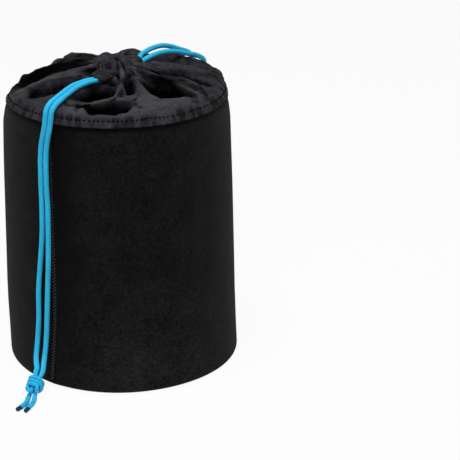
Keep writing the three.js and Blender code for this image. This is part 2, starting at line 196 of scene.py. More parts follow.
# %% Cord routes
LOOP_RADIUS = 0.0076
LOOP_OPEN = math.radians(38)
ROUTES = {
    "front_cord": {
        "degrees": -30, "reach": 0.021, "spread": 0.0017, "loop": 0.1642,
        "centre": (-0.0479, -0.0674, 0.0074), "axis": (0.24, 0.85, 0.47), "roll": -45,
        "right": {
            "run": [
                (-0.0135, -0.0239, 0.1644), (-0.0179, -0.0295, 0.1645), (-0.0213, -0.0345, 0.1643),
                (-0.0250, -0.0410, 0.1634), (-0.0286, -0.0474, 0.1622), (-0.0316, -0.0528, 0.1610),
                (-0.0337, -0.0551, 0.1582), (-0.0344, -0.0550, 0.1540)],
            "drop": [
                (-0.0350, -0.0546, 0.1500), (-0.0374, -0.0530, 0.1370), (-0.0381, -0.0526, 0.1200),
                (-0.0379, -0.0529, 0.1040), (-0.0382, -0.0528, 0.0890), (-0.0388, -0.0527, 0.0720),
                (-0.0397, -0.0523, 0.0570), (-0.0409, -0.0524, 0.0370), (-0.0419, -0.0527, 0.0245),
                (-0.0430, -0.0541, 0.0170)],
            "tail": [(-0.0538, -0.0802, 0.0022), (-0.0572, -0.0848, 0.0019)],
        },
        "left": {
            "run": [
                (-0.0163, -0.0220, 0.1644), (-0.0207, -0.0276, 0.1645), (-0.0242, -0.0326, 0.1643),
                (-0.0279, -0.0392, 0.1634), (-0.0315, -0.0456, 0.1622), (-0.0346, -0.0509, 0.1610),
                (-0.0365, -0.0532, 0.1582), (-0.0372, -0.0532, 0.1540)],
            "drop": [
                (-0.0377, -0.0529, 0.1500), (-0.0402, -0.0508, 0.1370), (-0.0410, -0.0503, 0.1200),
                (-0.0410, -0.0504, 0.1040), (-0.0415, -0.0502, 0.0890), (-0.0431, -0.0492, 0.0720),
                (-0.0446, -0.0483, 0.0570), (-0.0454, -0.0485, 0.0370), (-0.0466, -0.0493, 0.0245),
                (-0.0475, -0.0528, 0.0170)],
            "tail": [(-0.0502, -0.0812, 0.0022), (-0.0526, -0.0868, 0.0019)],
        },
    },
    "rear_cord": {
        "degrees": 120, "reach": 0.014, "spread": 0.0019, "loop": 0.1673,
        "centre": (0.0570, 0.0505, 0.0074), "axis": (-0.67, -0.59, 0.45), "roll": 86,
        "right": {
            "run": [
                (0.0136, 0.0140, 0.1682), (0.0190, 0.0240, 0.1690), (0.0260, 0.0330, 0.1686),
                (0.0314, 0.0376, 0.1668), (0.0366, 0.0416, 0.1640), (0.0414, 0.0461, 0.1611),
                (0.0444, 0.0477, 0.1578), (0.0449, 0.0471, 0.1540)],
            "drop": [
                (0.0450, 0.0469, 0.1500), (0.0457, 0.0460, 0.1370), (0.0462, 0.0457, 0.1200),
                (0.0464, 0.0456, 0.1040), (0.0462, 0.0459, 0.0890), (0.0462, 0.0464, 0.0720),
                (0.0466, 0.0465, 0.0570), (0.0474, 0.0465, 0.0370), (0.0481, 0.0466, 0.0250),
                (0.0482, 0.0472, 0.0170)],
            "tail": [(0.0664, 0.0584, 0.0022), (0.0670, 0.0645, 0.0019), (0.0650, 0.0710, 0.0019)],
        },
        "left": {
            "run": [
                (0.0176, 0.0088, 0.1682), (0.0220, 0.0140, 0.1688), (0.0284, 0.0200, 0.1686),
                (0.0346, 0.0252, 0.1670), (0.0400, 0.0298, 0.1646), (0.0458, 0.0358, 0.1619),
                (0.0498, 0.0401, 0.1582), (0.0505, 0.0409, 0.1540)],
            "drop": [
                (0.0503, 0.0410, 0.1500), (0.0495, 0.0419, 0.1370), (0.0489, 0.0428, 0.1200),
                (0.0489, 0.0429, 0.1040), (0.0492, 0.0428, 0.0890), (0.0498, 0.0424, 0.0720),
                (0.0503, 0.0424, 0.0570), (0.0507, 0.0429, 0.0370), (0.0510, 0.0435, 0.0250),
                (0.0513, 0.0442, 0.0170)],
            "tail": [(0.0630, 0.0608, 0.0022), (0.0618, 0.0670, 0.0019), (0.0580, 0.0726, 0.0019)],
        },
    },
}


def sleeve_point(route, out, across):
    """A point a distance out along a cord's sleeve and to the side of its middle."""
    angle = math.radians(route["degrees"])
    return np.array((across * math.cos(angle) + out * math.sin(angle),
                     across * math.sin(angle) - out * math.cos(angle), route["loop"]))


# %% [markdown]
# The knot is a double overhand knot: both strands are wound one and a half times round their own
# middles and tucked through. Each strand's line is written as an angle, a radius and a height
# about the knot's axis, and then turned to where the knot lies on the table. The cord is squeezed
# where the wraps bite, so the tube is thinner there and full again in the tails.

# %% Knot lines
KNOT_SPACING, KNOT_LEAD, KNOT_TURNS = 2.2 * MM, 2.4 * MM, 1.5
SQUEEZED, TIP_LENGTH = 2.05 * MM, 3.2 * MM


def knot_line(route, strand):
    """The route points of one strand through its knot, from above the knot to below it."""
    core = KNOT_SPACING / math.sqrt(2)
    lead = (CORD + 0.62 * MM) / math.sqrt(2)
    rise = 2 * KNOT_SPACING
    start = strand * math.pi / 2
    finish = start + KNOT_TURNS * 2 * math.pi
    lowest = KNOT_SPACING / 2 - strand * KNOT_SPACING - KNOT_TURNS * rise / 2
    end = (KNOT_TURNS + 1) * KNOT_SPACING + KNOT_LEAD

    def place(radius, angle, height):
        return Vector((radius * math.cos(angle), -radius * math.sin(angle), height))

    def height(angle):
        return lowest + rise * angle / (2 * math.pi)

    top, bottom = height(finish) + KNOT_SPACING, height(start) - KNOT_SPACING
    tuck = ((0.12, 0.45), (0.55, 0.1))
    line = [place(lead, start, end), place(core, start, top / 2), place(core, start, bottom / 2)]
    line += [place(core + out * KNOT_SPACING, start, bottom + up * KNOT_SPACING)
             for out, up in tuck]
    wraps = [start + i * math.pi / 6 for i in range(1, 18)]
    line += [place(core + KNOT_SPACING, angle, height(angle)) for angle in wraps]
    line += [place(core + out * KNOT_SPACING, finish, top - up * KNOT_SPACING)
             for out, up in reversed(tuck)]
    line += [place(core, finish, top / 2), place(core, finish, bottom / 2),
             place(lead, finish, -end)]
    roll = Quaternion((0, 0, 1), math.radians(route["roll"]))
    axis = Vector(route["axis"]).normalized()
    lean = Vector((0, 0, 1)).rotation_difference(axis)
    return [np.array(lean @ (roll @ p) + Vector(route["centre"])) for p in line], np.array(axis)


# %% [markdown]
# Now the cords are built. A strand from sleeve to knot is one piece. It is held by the casing
# above and by the knot below. The knot with both tails is one piece, and its tips are melted to a
# darker, harder end.

# %% Build the cords
STRANDS, KNOTS, LOOPS = [], [], []
for cord_name, route in ROUTES.items():
    knot_tubes = []
    strands = []
    for index, (hand, across) in enumerate((("right", 1), ("left", -1))):
        tied, axis = knot_line(route, index)
        lead_in = [tied[0] + axis * 1.7 * MM, tied[0] + axis * 0.3 * MM]
        lead_out = [tied[-1] - axis * 0.3 * MM, tied[-1] - axis * 1.7 * MM]
        leave = [sleeve_point(route, route["reach"] + out * MM, across * route["spread"])
                 for out in (-5, 0.3, 1.7)]
        line = smooth_path(leave + route[hand]["run"] + route[hand]["drop"] + lead_in, 0.3 * MM)
        strand = tube_piece(f"{cord_name}_{hand}_strand", [tube(line, CORD / 2)])
        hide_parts(f"{cord_name}_{hand}_run", f"{cord_name}_{hand}_drop")
        strands.append((strand, line))

        whole = smooth_path([lead_in[1]] + tied + lead_out + route[hand]["tail"], 0.25 * MM)
        whole[:, 2] = np.maximum(whole[:, 2], CORD / 2 + 0.1 * MM)
        along = np.linspace(0, path_length(whole), len(whole))
        wound = path_length(smooth_path(tied, 0.25 * MM))
        bite = np.clip(np.minimum(along, wound - along) / (4 * MM), 0, 1)
        radius = CORD / 2 - (CORD - SQUEEZED) / 2 * bite
        tip = np.clip((along - along[-1] + TIP_LENGTH) / (0.5 * MM), 0, 1)
        end = np.clip((along[-1] - along) / (0.7 * MM), 0, 1)
        radius = radius * (1 - 0.1 * tip) * np.sqrt(1 - 0.75 * (1 - end) ** 2)
        knot_tubes.append(tube(whole, radius, tip))
    knot = tube_piece(f"{cord_name}_knot", knot_tubes)
    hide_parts(*[f"{cord_name}_{hand}_{part}" for hand in ("right", "left")
                        for part in ("knot", "tail")])
    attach(knot, f"{cord_name}_end")
    KNOTS.append(knot)
    for strand, line in strands:
        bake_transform(strand)
        STRANDS.append(strand)
        print(strand.name, "length", round(path_length(line), 4), "m")

    turns = [LOOP_OPEN + 2 * (math.pi - LOOP_OPEN) * i / 14 for i in range(15)]
    ring = [sleeve_point(route, LOOP_RADIUS * math.cos(a), LOOP_RADIUS * math.sin(a))
            for a in turns]
    way_out = ((LOOP_RADIUS + 0.3 * MM, 2.9 * MM),
               ((LOOP_RADIUS + route["reach"]) / 2, route["spread"]),
               (route["reach"] - 5.3 * MM, route["spread"]))
    ends = [[sleeve_point(route, out, sign * across) for out, across in way_out]
            for sign in (1, -1)]
    loop_line = smooth_path(ends[0][::-1] + ring + ends[1], 0.3 * MM)
    loop = tube_piece(f"{cord_name}_in_casing", [tube(loop_line, CORD / 2)])
    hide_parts(f"{cord_name}_loop")
    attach(loop, "mouth")
    LOOPS.append(loop)
    print(loop.name, "length", round(path_length(loop_line), 4), "m")

# %% [markdown]
# The pouch stands on a pale table in soft studio light, against white. A soft lamp hangs above
# it, a little in front, and a broad one fills the front. Two tall, weak ones stand at its sides
# and brighten the edges of the dark cloth. The white comes from the floor's and the world's own
# colour as the camera sees them, so the lamps can stay at a level where a colour looks as it was
# written.

# %% Light and floor
bpy.context.scene.view_settings.view_transform = "Standard"


def soft_lamp(name, place, target, width, height, power):
    """A rectangular lamp that faces a target point."""
    data = bpy.data.lights.new(name, "AREA")
    data.shape = "RECTANGLE"
    data.size, data.size_y, data.energy = width, height, power
    lamp = bpy.data.objects.new(name, data)
    lamp.location = place
    lamp.rotation_euler = (Vector(target) - Vector(place)).to_track_quat("-Z", "Y").to_euler()
    bpy.context.collection.objects.link(lamp)
    return lamp


soft_lamp("overhead_lamp", (-0.05, -0.2, 1.25), (0, 0, 0.1), 0.5, 0.4, 10)
soft_lamp("left_lamp", (-1.15, -0.1, 0.45), (0, 0, 0.08), 0.6, 0.9, 0.65)
soft_lamp("right_lamp", (1.15, -0.05, 0.45), (0, 0, 0.08), 0.6, 0.9, 0.65)
soft_lamp("front_lamp", (-0.25, -1.4, 0.9), (0, 0, 0.08), 0.9, 0.6, 7.0)


def new_material(name):
    """A material with an empty node tree, and a short way to add nodes to it."""
    material = bpy.data.materials.new(name)
    material.use_nodes = True
    material.node_tree.nodes.clear()
    return material, Tree(material.node_tree)


class Tree:
    """Adds nodes to a tree, sets their inputs and links them in one call."""

    def __init__(self, tree):
        self.tree = tree

    def node(self, kind, inputs=None, **settings):
        node = self.tree.nodes.new(kind)
        for key, value in settings.items():
            setattr(node, key, value)
        for key, value in (inputs or {}).items():
            if isinstance(value, bpy.types.NodeSocket):
                self.tree.links.new(value, node.inputs[key])
            else:
                node.inputs[key].default_value = value
        return node

    def math(self, operation, *values, clamp=False):
        return self.node("ShaderNodeMath", dict(enumerate(values)), operation=operation,
                         use_clamp=clamp).outputs[0]


def seen_share(tree):
    """1 where the camera sees a surface, by itself or by way of another, and 0 for the lamps."""
    ray = tree.node("ShaderNodeLightPath").outputs
    first = tree.math("MAXIMUM", ray["Is Camera Ray"], ray["Is Glossy Ray"])
    return tree.math("MAXIMUM", first, ray["Is Transmission Ray"])


TABLE_SHADE = 0.93
world = bpy.data.worlds.new("studio")
bpy.context.scene.world = world
world.use_nodes = True
world.node_tree.nodes.clear()
studio = Tree(world.node_tree)
white = studio.node("ShaderNodeBackground", {"Color": (1, 1, 1, 1), "Strength": 1})
dim = studio.node("ShaderNodeBackground", {"Color": (1, 1, 1, 1), "Strength": 0.05})
mix = studio.node("ShaderNodeMixShader", {0: seen_share(studio), 1: dim.outputs[0],
                                            2: white.outputs[0]})
studio.node("ShaderNodeOutputWorld", {"Surface": mix.outputs[0]})

bpy.ops.object.select_all(action="DESELECT")
bpy.ops.mesh.primitive_plane_add(size=8)
table = bpy.context.object
table.name = "table"
table_material, paint = new_material("table")
pale = paint.node("ShaderNodeBsdfDiffuse", {"Color": (TABLE_SHADE,) * 3 + (1,)})
glow = paint.node("ShaderNodeEmission", {"Color": (1, 1, 1, 1), "Strength": 1})
mix = paint.node("ShaderNodeMixShader", {
    0: paint.math("MULTIPLY", seen_share(paint), TABLE_SHADE), 1: pale.outputs[0],
    2: glow.outputs[0]})
paint.node("ShaderNodeOutputMaterial", {"Surface": mix.outputs[0]})
table.data.materials.append(table_material)

# %% [markdown]
# Every fabric here shares two effects, so each is a node group that the materials place with
# their own values. Dye is never even: a slow blotch and a fine speck lighten and darken the
# cloth. Yarn has a grain: two crossed waves on the piece's UV map, which is in metres, give the
# height of a plain weave or of knitted ribs, according to the two pitches.

# %% Shared fabric effects


def effect_group(name, inputs, output):
    """A node group with named number inputs and one named output, ready for its nodes."""
    group = bpy.data.node_groups.new(name, "ShaderNodeTree")
    for label, value in inputs.items():
        kind = "NodeSocketVector" if value is None else "NodeSocketFloat"
        socket = group.interface.new_socket(label, in_out="INPUT", socket_type=kind)
        if value is not None:
            socket.default_value = value
    group.interface.new_socket(output, in_out="OUTPUT", socket_type="NodeSocketFloat")
    tree = Tree(group)
    return group, tree, tree.node("NodeGroupInput").outputs


uneven_dye, dye, given = effect_group(
    "uneven_dye", {"Vector": None, "Blotch": 0.2, "Speck": 0.2, "Speck Size": 0.0012}, "Shade")
blotch = dye.node("ShaderNodeTexNoise", {"Vector": given["Vector"], "Scale": 55, "Detail": 3})
speck = dye.node("ShaderNodeTexNoise", {"Vector": given["Vector"], "Detail": 2,
                                        "Scale": dye.math("DIVIDE", 1, given["Speck Size"])})
slow = dye.math("MULTIPLY", dye.math("SUBTRACT", blotch.outputs["Fac"], 0.5), given["Blotch"])
fine = dye.math("MULTIPLY", dye.math("SUBTRACT", speck.outputs["Fac"], 0.5), given["Speck"])
shade = dye.math("ADD", 1, dye.math("MULTIPLY", dye.math("ADD", slow, fine), 2))
dye.node("NodeGroupOutput", {"Shade": shade})

yarn_grain, grain, given = effect_group(
    "yarn_grain", {"Vector": None, "Across": 0.0005, "Along": 0.0005, "Slant": 0.0}, "Height")
split = grain.node("ShaderNodeSeparateXYZ", {0: given["Vector"]}).outputs
x = grain.math("DIVIDE", split[0], given["Across"])
y = grain.math("DIVIDE", split[1], given["Along"])
zigzag = grain.math("PINGPONG", x, 0.5)
leaning = grain.math("ADD", y, grain.math("MULTIPLY", given["Slant"], zigzag))
over = grain.math("SINE", grain.math("MULTIPLY", x, 2 * math.pi))
under = grain.math("SINE", grain.math("MULTIPLY", leaning, 2 * math.pi))
crossed = grain.math("MULTIPLY", grain.math("MULTIPLY", over, under), 0.5)
grain.node("NodeGroupOutput", {"Height": grain.math("ADD", 0.5, crossed)})
print("groups", [group.name for group in bpy.data.node_groups])

# %% [markdown]
# The fabrics differ in how they take light. The knit face of neoprene is matt and slightly
# fuzzy, and its ribs are under a millimetre apart. The nylon is a thin, dull taffeta with fine
# creases. Both carry a point value of painted light where they stand out and painted shade, deep
# black, where they lie deep, and it scales their colour. Sheen lightens cloth where it is seen at a
# slant, as loose fibres do, and it belongs to the shader itself, so it is set there.

# %% Fabric materials


def fabric(name, color, roughness, pitch, dye, relief, sheen, slant=0.0, specular=0.3, painted_light_range=None):
    """A material with uneven dye, a yarn grain of two pitches, a soft relief in metres, and, with a
    range, painted light and shade from a point value.
    """
    material, tree = new_material(name)
    place = tree.node("ShaderNodeTexCoord").outputs
    shade = tree.node("ShaderNodeGroup", {"Vector": place["Object"], "Blotch": dye[0],
                                          "Speck": dye[1], "Speck Size": dye[2]},
                      node_tree=uneven_dye).outputs[0]
    yarn = tree.node("ShaderNodeGroup", {"Vector": place["UV"], "Across": pitch[0],
                                         "Along": pitch[1], "Slant": slant},
                     node_tree=yarn_grain).outputs[0]
    tone = tree.math("MULTIPLY", shade, tree.math("ADD", 0.75, tree.math("MULTIPLY", yarn, 0.5)))
    # The point value scales the colour with painted light and shade, and with random tone.
    if painted_light_range:
        painted_light_value = tree.node("ShaderNodeAttribute", attribute_name="painted_light_and_tone").outputs["Fac"]
        painted_light_and_tone = tree.math("ADD", painted_light_range[0], tree.math("MULTIPLY", painted_light_value, painted_light_range[1] - painted_light_range[0]))
        tone = tree.math("MULTIPLY", tone, painted_light_and_tone)
    dyed = tree.node("ShaderNodeVectorMath", {0: color, "Scale": tone}, operation="SCALE")
    soft = tree.node("ShaderNodeTexNoise", {"Vector": place["Object"], "Scale": 1 / relief[0],
                                            "Detail": 3})
    crease = tree.node("ShaderNodeBump", {"Strength": 1, "Distance": relief[1],
                                          "Height": soft.outputs["Fac"]})
    weave = tree.node("ShaderNodeBump", {"Strength": 0.6, "Distance": min(pitch) * 0.3,
                                         "Height": yarn, "Normal": crease.outputs[0]})
    rough = tree.math("SUBTRACT", roughness + 0.05, tree.math("MULTIPLY", yarn, 0.1))
    shader = tree.node("ShaderNodeBsdfPrincipled", {
        "Base Color": dyed.outputs[0], "Roughness": rough, "Normal": weave.outputs[0],
        "Sheen Weight": sheen, "Sheen Roughness": 0.45, "Specular IOR Level": specular})
    tree.node("ShaderNodeOutputMaterial", {"Surface": shader.outputs[0]})
    return material


KNIT = fabric("black_knit_neoprene", (0.0060, 0.0060, 0.0061), 0.85, (0.0008, 0.0009),
              (0.9, 1.6, 0.0015), (0.012, 0.0006), 0.03, slant=0.8, specular=0.06,
              painted_light_range=(0.1, 1.9))
NYLON = fabric("black_taffeta", (0.0250, 0.0240, 0.0276), 0.50, (0.0005, 0.0004),
               (0.25, 0.5, 0.0010), (0.0032, 0.0009), 0.005, specular=0.006, painted_light_range=(0.02, 2.5))
TAPE = fabric("binding_tape", (0.018, 0.018, 0.020), 0.65, (0.0012, 0.0006), (0.2, 0.2, 0.001),
              (0.006, 0.0003), 0.1)
PLUSH = fabric("grey_black_plush", (0.016, 0.016, 0.018), 0.95, (0.0011, 0.0011),
               (0.6, 0.7, 0.002), (0.0016, 0.0009), 0.5, slant=0.4, specular=0.1)
# A darker copy of the black thread, for the hem: painted shade where the stitches sink into the
# cloth.
THREAD_IN_PAINTED_SHADE = fabric("hem_thread_painted_shade", (0.0030, 0.0030, 0.0034), 0.8, (0.0003, 0.0003),
                     (0.3, 0.2, 0.002), (0.0008, 0.0001), 0.0, specular=0.02)
THREAD = fabric("black_thread", (0.026, 0.026, 0.029), 0.42, (0.0003, 0.0003), (0.3, 0.2, 0.002),
                (0.0008, 0.0001), 0.05, specular=0.35)
print("fabrics", [m.name for m in (KNIT, NYLON, TAPE, PLUSH, THREAD_IN_PAINTED_SHADE, THREAD)])

# %% [markdown]
# The cord's cover is braided from bright blue yarn. The material follows the same two spirals as
# the tube's shape, with painted light on each diamond's crown and painted shade in the grooves. At
# the tips the yarn is melted, which turns it dark and hard: the tube carries that as a point value.

# %% Cord material
CORD_BLUE, MELTED_BLUE = (0.034, 0.58, 0.94), (0.002, 0.040, 0.105, 1)
BLUE, tree = new_material("blue_braid")
place = tree.node("ShaderNodeTexCoord").outputs
split = tree.node("ShaderNodeSeparateXYZ", {0: place["UV"]}).outputs
round_cord = tree.math("MULTIPLY", split[0], YARNS)
along_cord = tree.math("DIVIDE", split[1], BRAID_PITCH)
turns = [tree.math(sign, round_cord, along_cord) for sign in ("ADD", "SUBTRACT")]
spirals = [tree.math("SINE", tree.math("MULTIPLY", turn, math.pi)) for turn in turns]
diamond = tree.math("SQRT", tree.math("ABSOLUTE", tree.math("MULTIPLY", *spirals)))
shade = tree.node("ShaderNodeGroup", {"Vector": place["Object"], "Blotch": 0.12, "Speck": 0.15,
                                      "Speck Size": 0.0009}, node_tree=uneven_dye).outputs[0]
# Painted light on the crowns of the braid's diamonds and painted shade in its grooves.
tone = tree.math("MULTIPLY", shade, tree.math("ADD", 0.72, tree.math("MULTIPLY", diamond, 0.4)))
dyed = tree.node("ShaderNodeVectorMath", {0: CORD_BLUE, "Scale": tone}, operation="SCALE")
melted = tree.node("ShaderNodeAttribute", attribute_name="tip").outputs["Fac"]
color = tree.node("ShaderNodeMix", {0: melted, 6: dyed.outputs[0], 7: MELTED_BLUE},
                  data_type="RGBA")
fibre = tree.node("ShaderNodeTexNoise", {"Vector": place["Object"], "Scale": 2600, "Detail": 2})
fuzz = tree.node("ShaderNodeBump", {"Strength": 0.35, "Distance": 0.0001,
                                    "Height": fibre.outputs["Fac"]})
groove = tree.node("ShaderNodeBump", {"Strength": 0.7, "Distance": 0.0001, "Height": diamond,
                                      "Normal": fuzz.outputs[0]})
rough = tree.math("SUBTRACT", 0.62, tree.math("MULTIPLY", melted, 0.3))
shader = tree.node("ShaderNodeBsdfPrincipled", {
    "Base Color": color.outputs[2], "Roughness": rough, "Normal": groove.outputs[0],
    "Sheen Weight": 0.05, "Specular IOR Level": 0.12})
tree.node("ShaderNodeOutputMaterial", {"Surface": shader.outputs[0]})
for piece in STRANDS + KNOTS + LOOPS:
    piece.data.materials.append(BLUE)
print("braided pieces", len(STRANDS + KNOTS + LOOPS))

# %% [markdown]
# The cup's wall is one sheet of neoprene, 4.6 mm thick, rolled into a tube. It could be spun
# from a profile. Here a ring is extruded step by step and resized each time, which gives clean
# rings: out along the foot and round its edge, up the slightly bulging side, over the top and
# down the inside. The last ring is then bridged to the first, which closes the section.

# %% Wall by extruding a ring
RIM, FOOT_RADIUS, ROUNDING, BASE_SEAM = 62 * MM, 65 * MM, 3.2 * MM, 56 * MM
WALL_TOP, NEOPRENE = 155 * MM, 4.6 * MM
BULGE = ((0.06, 1), (0.2, 1.0), (0.4, 0.8), (0.65, 0.52), (0.85, 0.25), (1, 0))


def wall_radius(height):
    """The outside radius of the wall above its rounded foot."""
    return RIM + (FOOT_RADIUS - RIM) * float(np.interp(height / WALL_TOP, *zip(*BULGE)))


def wall_outline(depth, top, step):
    """Radius and height from the base seam up the wall, a depth inside its outer face."""
    bend = max(ROUNDING - depth, 0.8 * MM)
    corner = FOOT_RADIUS - depth - bend
    arc = [(corner + bend * math.sin(a), depth + bend - bend * math.cos(a))
           for a in np.linspace(0, math.pi / 2, 7)]
    heights = np.arange(depth + bend + step, top - step / 2, step)
    return [(BASE_SEAM, depth)] + arc + [(wall_radius(h) - depth, h) for h in heights] + [
        (wall_radius(top) - depth, top)]


def primitive(add, name, **settings):
    """A new primitive with a name, and with its place and turn applied."""
    bpy.ops.object.select_all(action="DESELECT")
    add(**settings)
    piece = bpy.context.object
    piece.name = name
    bpy.ops.object.transform_apply()
    return piece


@contextmanager
def editing(kind=None):
    """Edit mode for the piece at hand, in which edges or faces are selected, and back again."""
    bpy.ops.object.mode_set(mode="EDIT")
    if kind:
        bpy.context.tool_settings.mesh_select_mode = (False, kind == "edges", kind == "faces")
    yield bpy.ops.mesh
    bpy.ops.object.mode_set(mode="OBJECT")


def extruded_ring(name, outline, steps=192, closed=False):
    """A ring of edges extruded through an outline of radius and height, by edit operators."""
    radius, height = outline[0]
    piece = primitive(bpy.ops.mesh.primitive_circle_add, name, vertices=steps, radius=radius,
                      location=(0, 0, height))
    with editing() as mesh:
        mesh.select_all(action="SELECT")
        for new_radius, new_height in outline[1:]:
            mesh.extrude_edges_move(TRANSFORM_OT_translate={"value": (0, 0, new_height - height)})
            share = new_radius / radius
            bpy.ops.transform.resize(value=(share, share, 1), center_override=(0, 0, new_height))
            radius, height = new_radius, new_height
        if closed:
            bpy.context.tool_settings.mesh_select_mode = (False, True, False)
            mesh.select_all(action="DESELECT")
            mesh.select_non_manifold()
            mesh.bridge_edge_loops()
        mesh.select_all(action="SELECT")
        mesh.normals_make_consistent(inside=False)
    return piece


def select_only(piece):
    bpy.ops.object.select_all(action="DESELECT")
    piece.select_set(True)
    bpy.context.view_layer.objects.active = piece


def apply_modifier(piece, kind, **settings):
    """Adds a modifier, sets it and applies it."""
    select_only(piece)
    modifier = piece.modifiers.new(kind.lower(), kind)
    for key, value in settings.items():
        setattr(modifier, key, value)
    bpy.ops.object.modifier_apply(modifier=modifier.name)


def points_of(piece):
    found = np.empty(len(piece.data.vertices) * 3)
    piece.data.vertices.foreach_get("co", found)
    return found.reshape(-1, 3)


def reshape(piece, move):
    """Moves every point of a piece by a function of all its points."""
    piece.data.vertices.foreach_set("co", move(points_of(piece)).ravel())
    piece.data.update()


def wrap_uv(piece):
    """A UV map in metres: round the pouch and up it, or flat on what faces up or down."""
    mesh = piece.data
    layer = mesh.uv_layers.get("UVMap") or mesh.uv_layers.new(name="UVMap")
    for face in mesh.polygons:
        flat = abs(face.normal.z) > 0.8
        middle = math.atan2(face.center.x, -face.center.y)
        for loop in face.loop_indices:
            p = mesh.vertices[mesh.loops[loop].vertex_index].co
            turn = middle + math.remainder(math.atan2(p.x, -p.y) - middle, 2 * math.pi)
            layer.data[loop].uv = (p.x, p.y) if flat else (turn * RIM, p.z)


def paint_light_and_tone(piece, values):
    """Gives a piece the point value of its painted light and shade and its tone, from 0 to 1."""
    painted_light_and_tone = piece.data.attributes.new("painted_light_and_tone", "FLOAT", "POINT").data
    painted_light_and_tone.foreach_set("value", np.clip(values, 0, 1))


def finish_piece(piece, material, slot, body, *nodes, smooth_below=50):
    """Smooths and unwraps a piece, gives it its material and body, and hides its nodes.
    The slot is not used.
    """
    if smooth_below:
        select_only(piece)
        bpy.ops.object.shade_smooth_by_angle(angle=math.radians(smooth_below))
        wrap_uv(piece)
    piece.data.materials.clear()
    piece.data.materials.append(material)
    if body:
        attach(piece, body)
    if nodes:
        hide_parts(*nodes)
    print(piece.name, len(piece.data.polygons), "faces")


OUTER_STEP, INNER_STEP = 1.2 * MM, 2.4 * MM
outside = wall_outline(0, WALL_TOP - 0.8 * MM, OUTER_STEP)
within = wall_outline(NEOPRENE, WALL_TOP - 0.8 * MM, INNER_STEP)
lip = [(RIM - 0.6 * MM, WALL_TOP), (RIM - NEOPRENE + 0.6 * MM, WALL_TOP)]
wall = extruded_ring("wall", outside + lip + within[::-1], closed=True)
print("wall", len(wall.data.vertices), "points, thickness", NEOPRENE / MM, "mm")

# %% [markdown]
# A soft wall isn't a perfect tube. It leans in a little low on the left, where nothing fills it,
# spreads at the foot in front and on the right, and waves by a few tenths of a millimetre. The
# sheet's two edges meet at a side seam, front left, which shows as a thin groove. Each pair of
# cords presses a faint hollow. The drawn cloth pulls the top edge inwards, most of all at the left
# and the right, and its stitches leave a shallow groove under the hem. All of this is made with
# small moves of the points. The wall also carries a point value of painted light and shade: the
# front cords' shadow beside them, shade on the left side, under the hem and along the seam, and
# light low on the front, where the floor brightens it, over a random mottle.

# %% Soften the wall
SEAM_ANGLE, SEAM_DRIFT, DRIFT_HEIGHT = math.radians(-33.5), math.radians(-3), 55 * MM
CORD_HOLLOWS = (math.radians(-37), math.radians(132.5))


def seam_turn(height):
    """The angle of the side seam at a height: it drifts to the left towards the foot."""
    return SEAM_ANGLE + SEAM_DRIFT * np.clip(1 - height / DRIFT_HEIGHT, 0, 1) ** 1.5


def turn_from(angle, middle):
    """The signed angle from a middle line, in the shorter direction."""
    return np.remainder(angle - middle + math.pi, 2 * math.pi) - math.pi


def near_turn(angle, middle, width):
    """1 at a line up the pouch, given in degrees, and fading to 0 over a width to both sides."""
    return np.exp(-(turn_from(angle, math.radians(middle)) / math.radians(width)) ** 2)


def soft_noise(points, size, seed):
    """Smooth noise from -1 to 1 at each point, with features of about the given size."""
    return np.array([noise.noise(Vector(p) / size + Vector((seed, 0, 0))) for p in points])


def shoulder(angle):
    """How far the top of the pouch is drawn inwards at an angle, at its left and its right."""
    return 4.0 * MM * near_turn(angle, -102, 38) + 2.6 * MM * near_turn(angle, 72, 32)


def soften(points):
    """Moves the points of an even tube to where they lie on a soft wall."""
    angle, height = np.arctan2(points[:, 0], -points[:, 1]), points[:, 2]
    wave = 0.35 * MM * soft_noise(points, 45 * MM, 3.1) * np.clip(height / (20 * MM), 0, 1)
    left = np.clip(-np.sin(angle), 0, 1) ** 1.5
    low = np.interp(height, [0, 8 * MM, 25 * MM, 45 * MM, 70 * MM],
                    [1.0 * MM, 0.8 * MM, 0.5 * MM, 0.1 * MM, 0])
    from_seam = turn_from(angle, seam_turn(height))
    groove = 0.55 * MM * np.exp(-(from_seam * RIM / (0.9 * MM)) ** 2) * (height > 2 * MM)
    beside = 0.25 * MM * np.exp(-(from_seam * RIM / (4 * MM)) ** 2)
    drawn = np.clip((height - 143 * MM) / (12 * MM), 0, 1) ** 1.4
    spread = 1.8 * MM * near_turn(angle, 62, 38) + 1.8 * MM * near_turn(angle, -2, 40)
    spread = spread * np.clip(1 - height / (34 * MM), 0, 1)
    hollow = sum(np.exp(-(turn_from(angle, at) * RIM / (6 * MM)) ** 2) for at in CORD_HOLLOWS)
    beside_cord = np.interp(height, [20 * MM, 35 * MM, 105 * MM, 125 * MM], [0, 1, 1, 0])
    hollow = 0.55 * MM * hollow * beside_cord
    drawn_in = 1.4 * MM * drawn + shoulder(angle) * np.interp(
        height, [138 * MM, 149 * MM, 155 * MM], [0, 0.45, 0.9])
    drawn_in = drawn_in + 0.6 * MM * np.exp(-((height - 149.2 * MM) / (0.8 * MM)) ** 2)
    inward = left * low - wave + groove - beside + drawn_in - spread + hollow
    radius = np.hypot(points[:, 0], points[:, 1])
    share = np.where(radius > 20 * MM, (radius - inward) / radius, 1)
    moved = points.copy()
    moved[:, :2] *= share[:, None]
    moved[:, 2] -= 1.6 * MM * drawn * np.exp(-((np.degrees(angle) + 115) / 35) ** 2)
    return moved


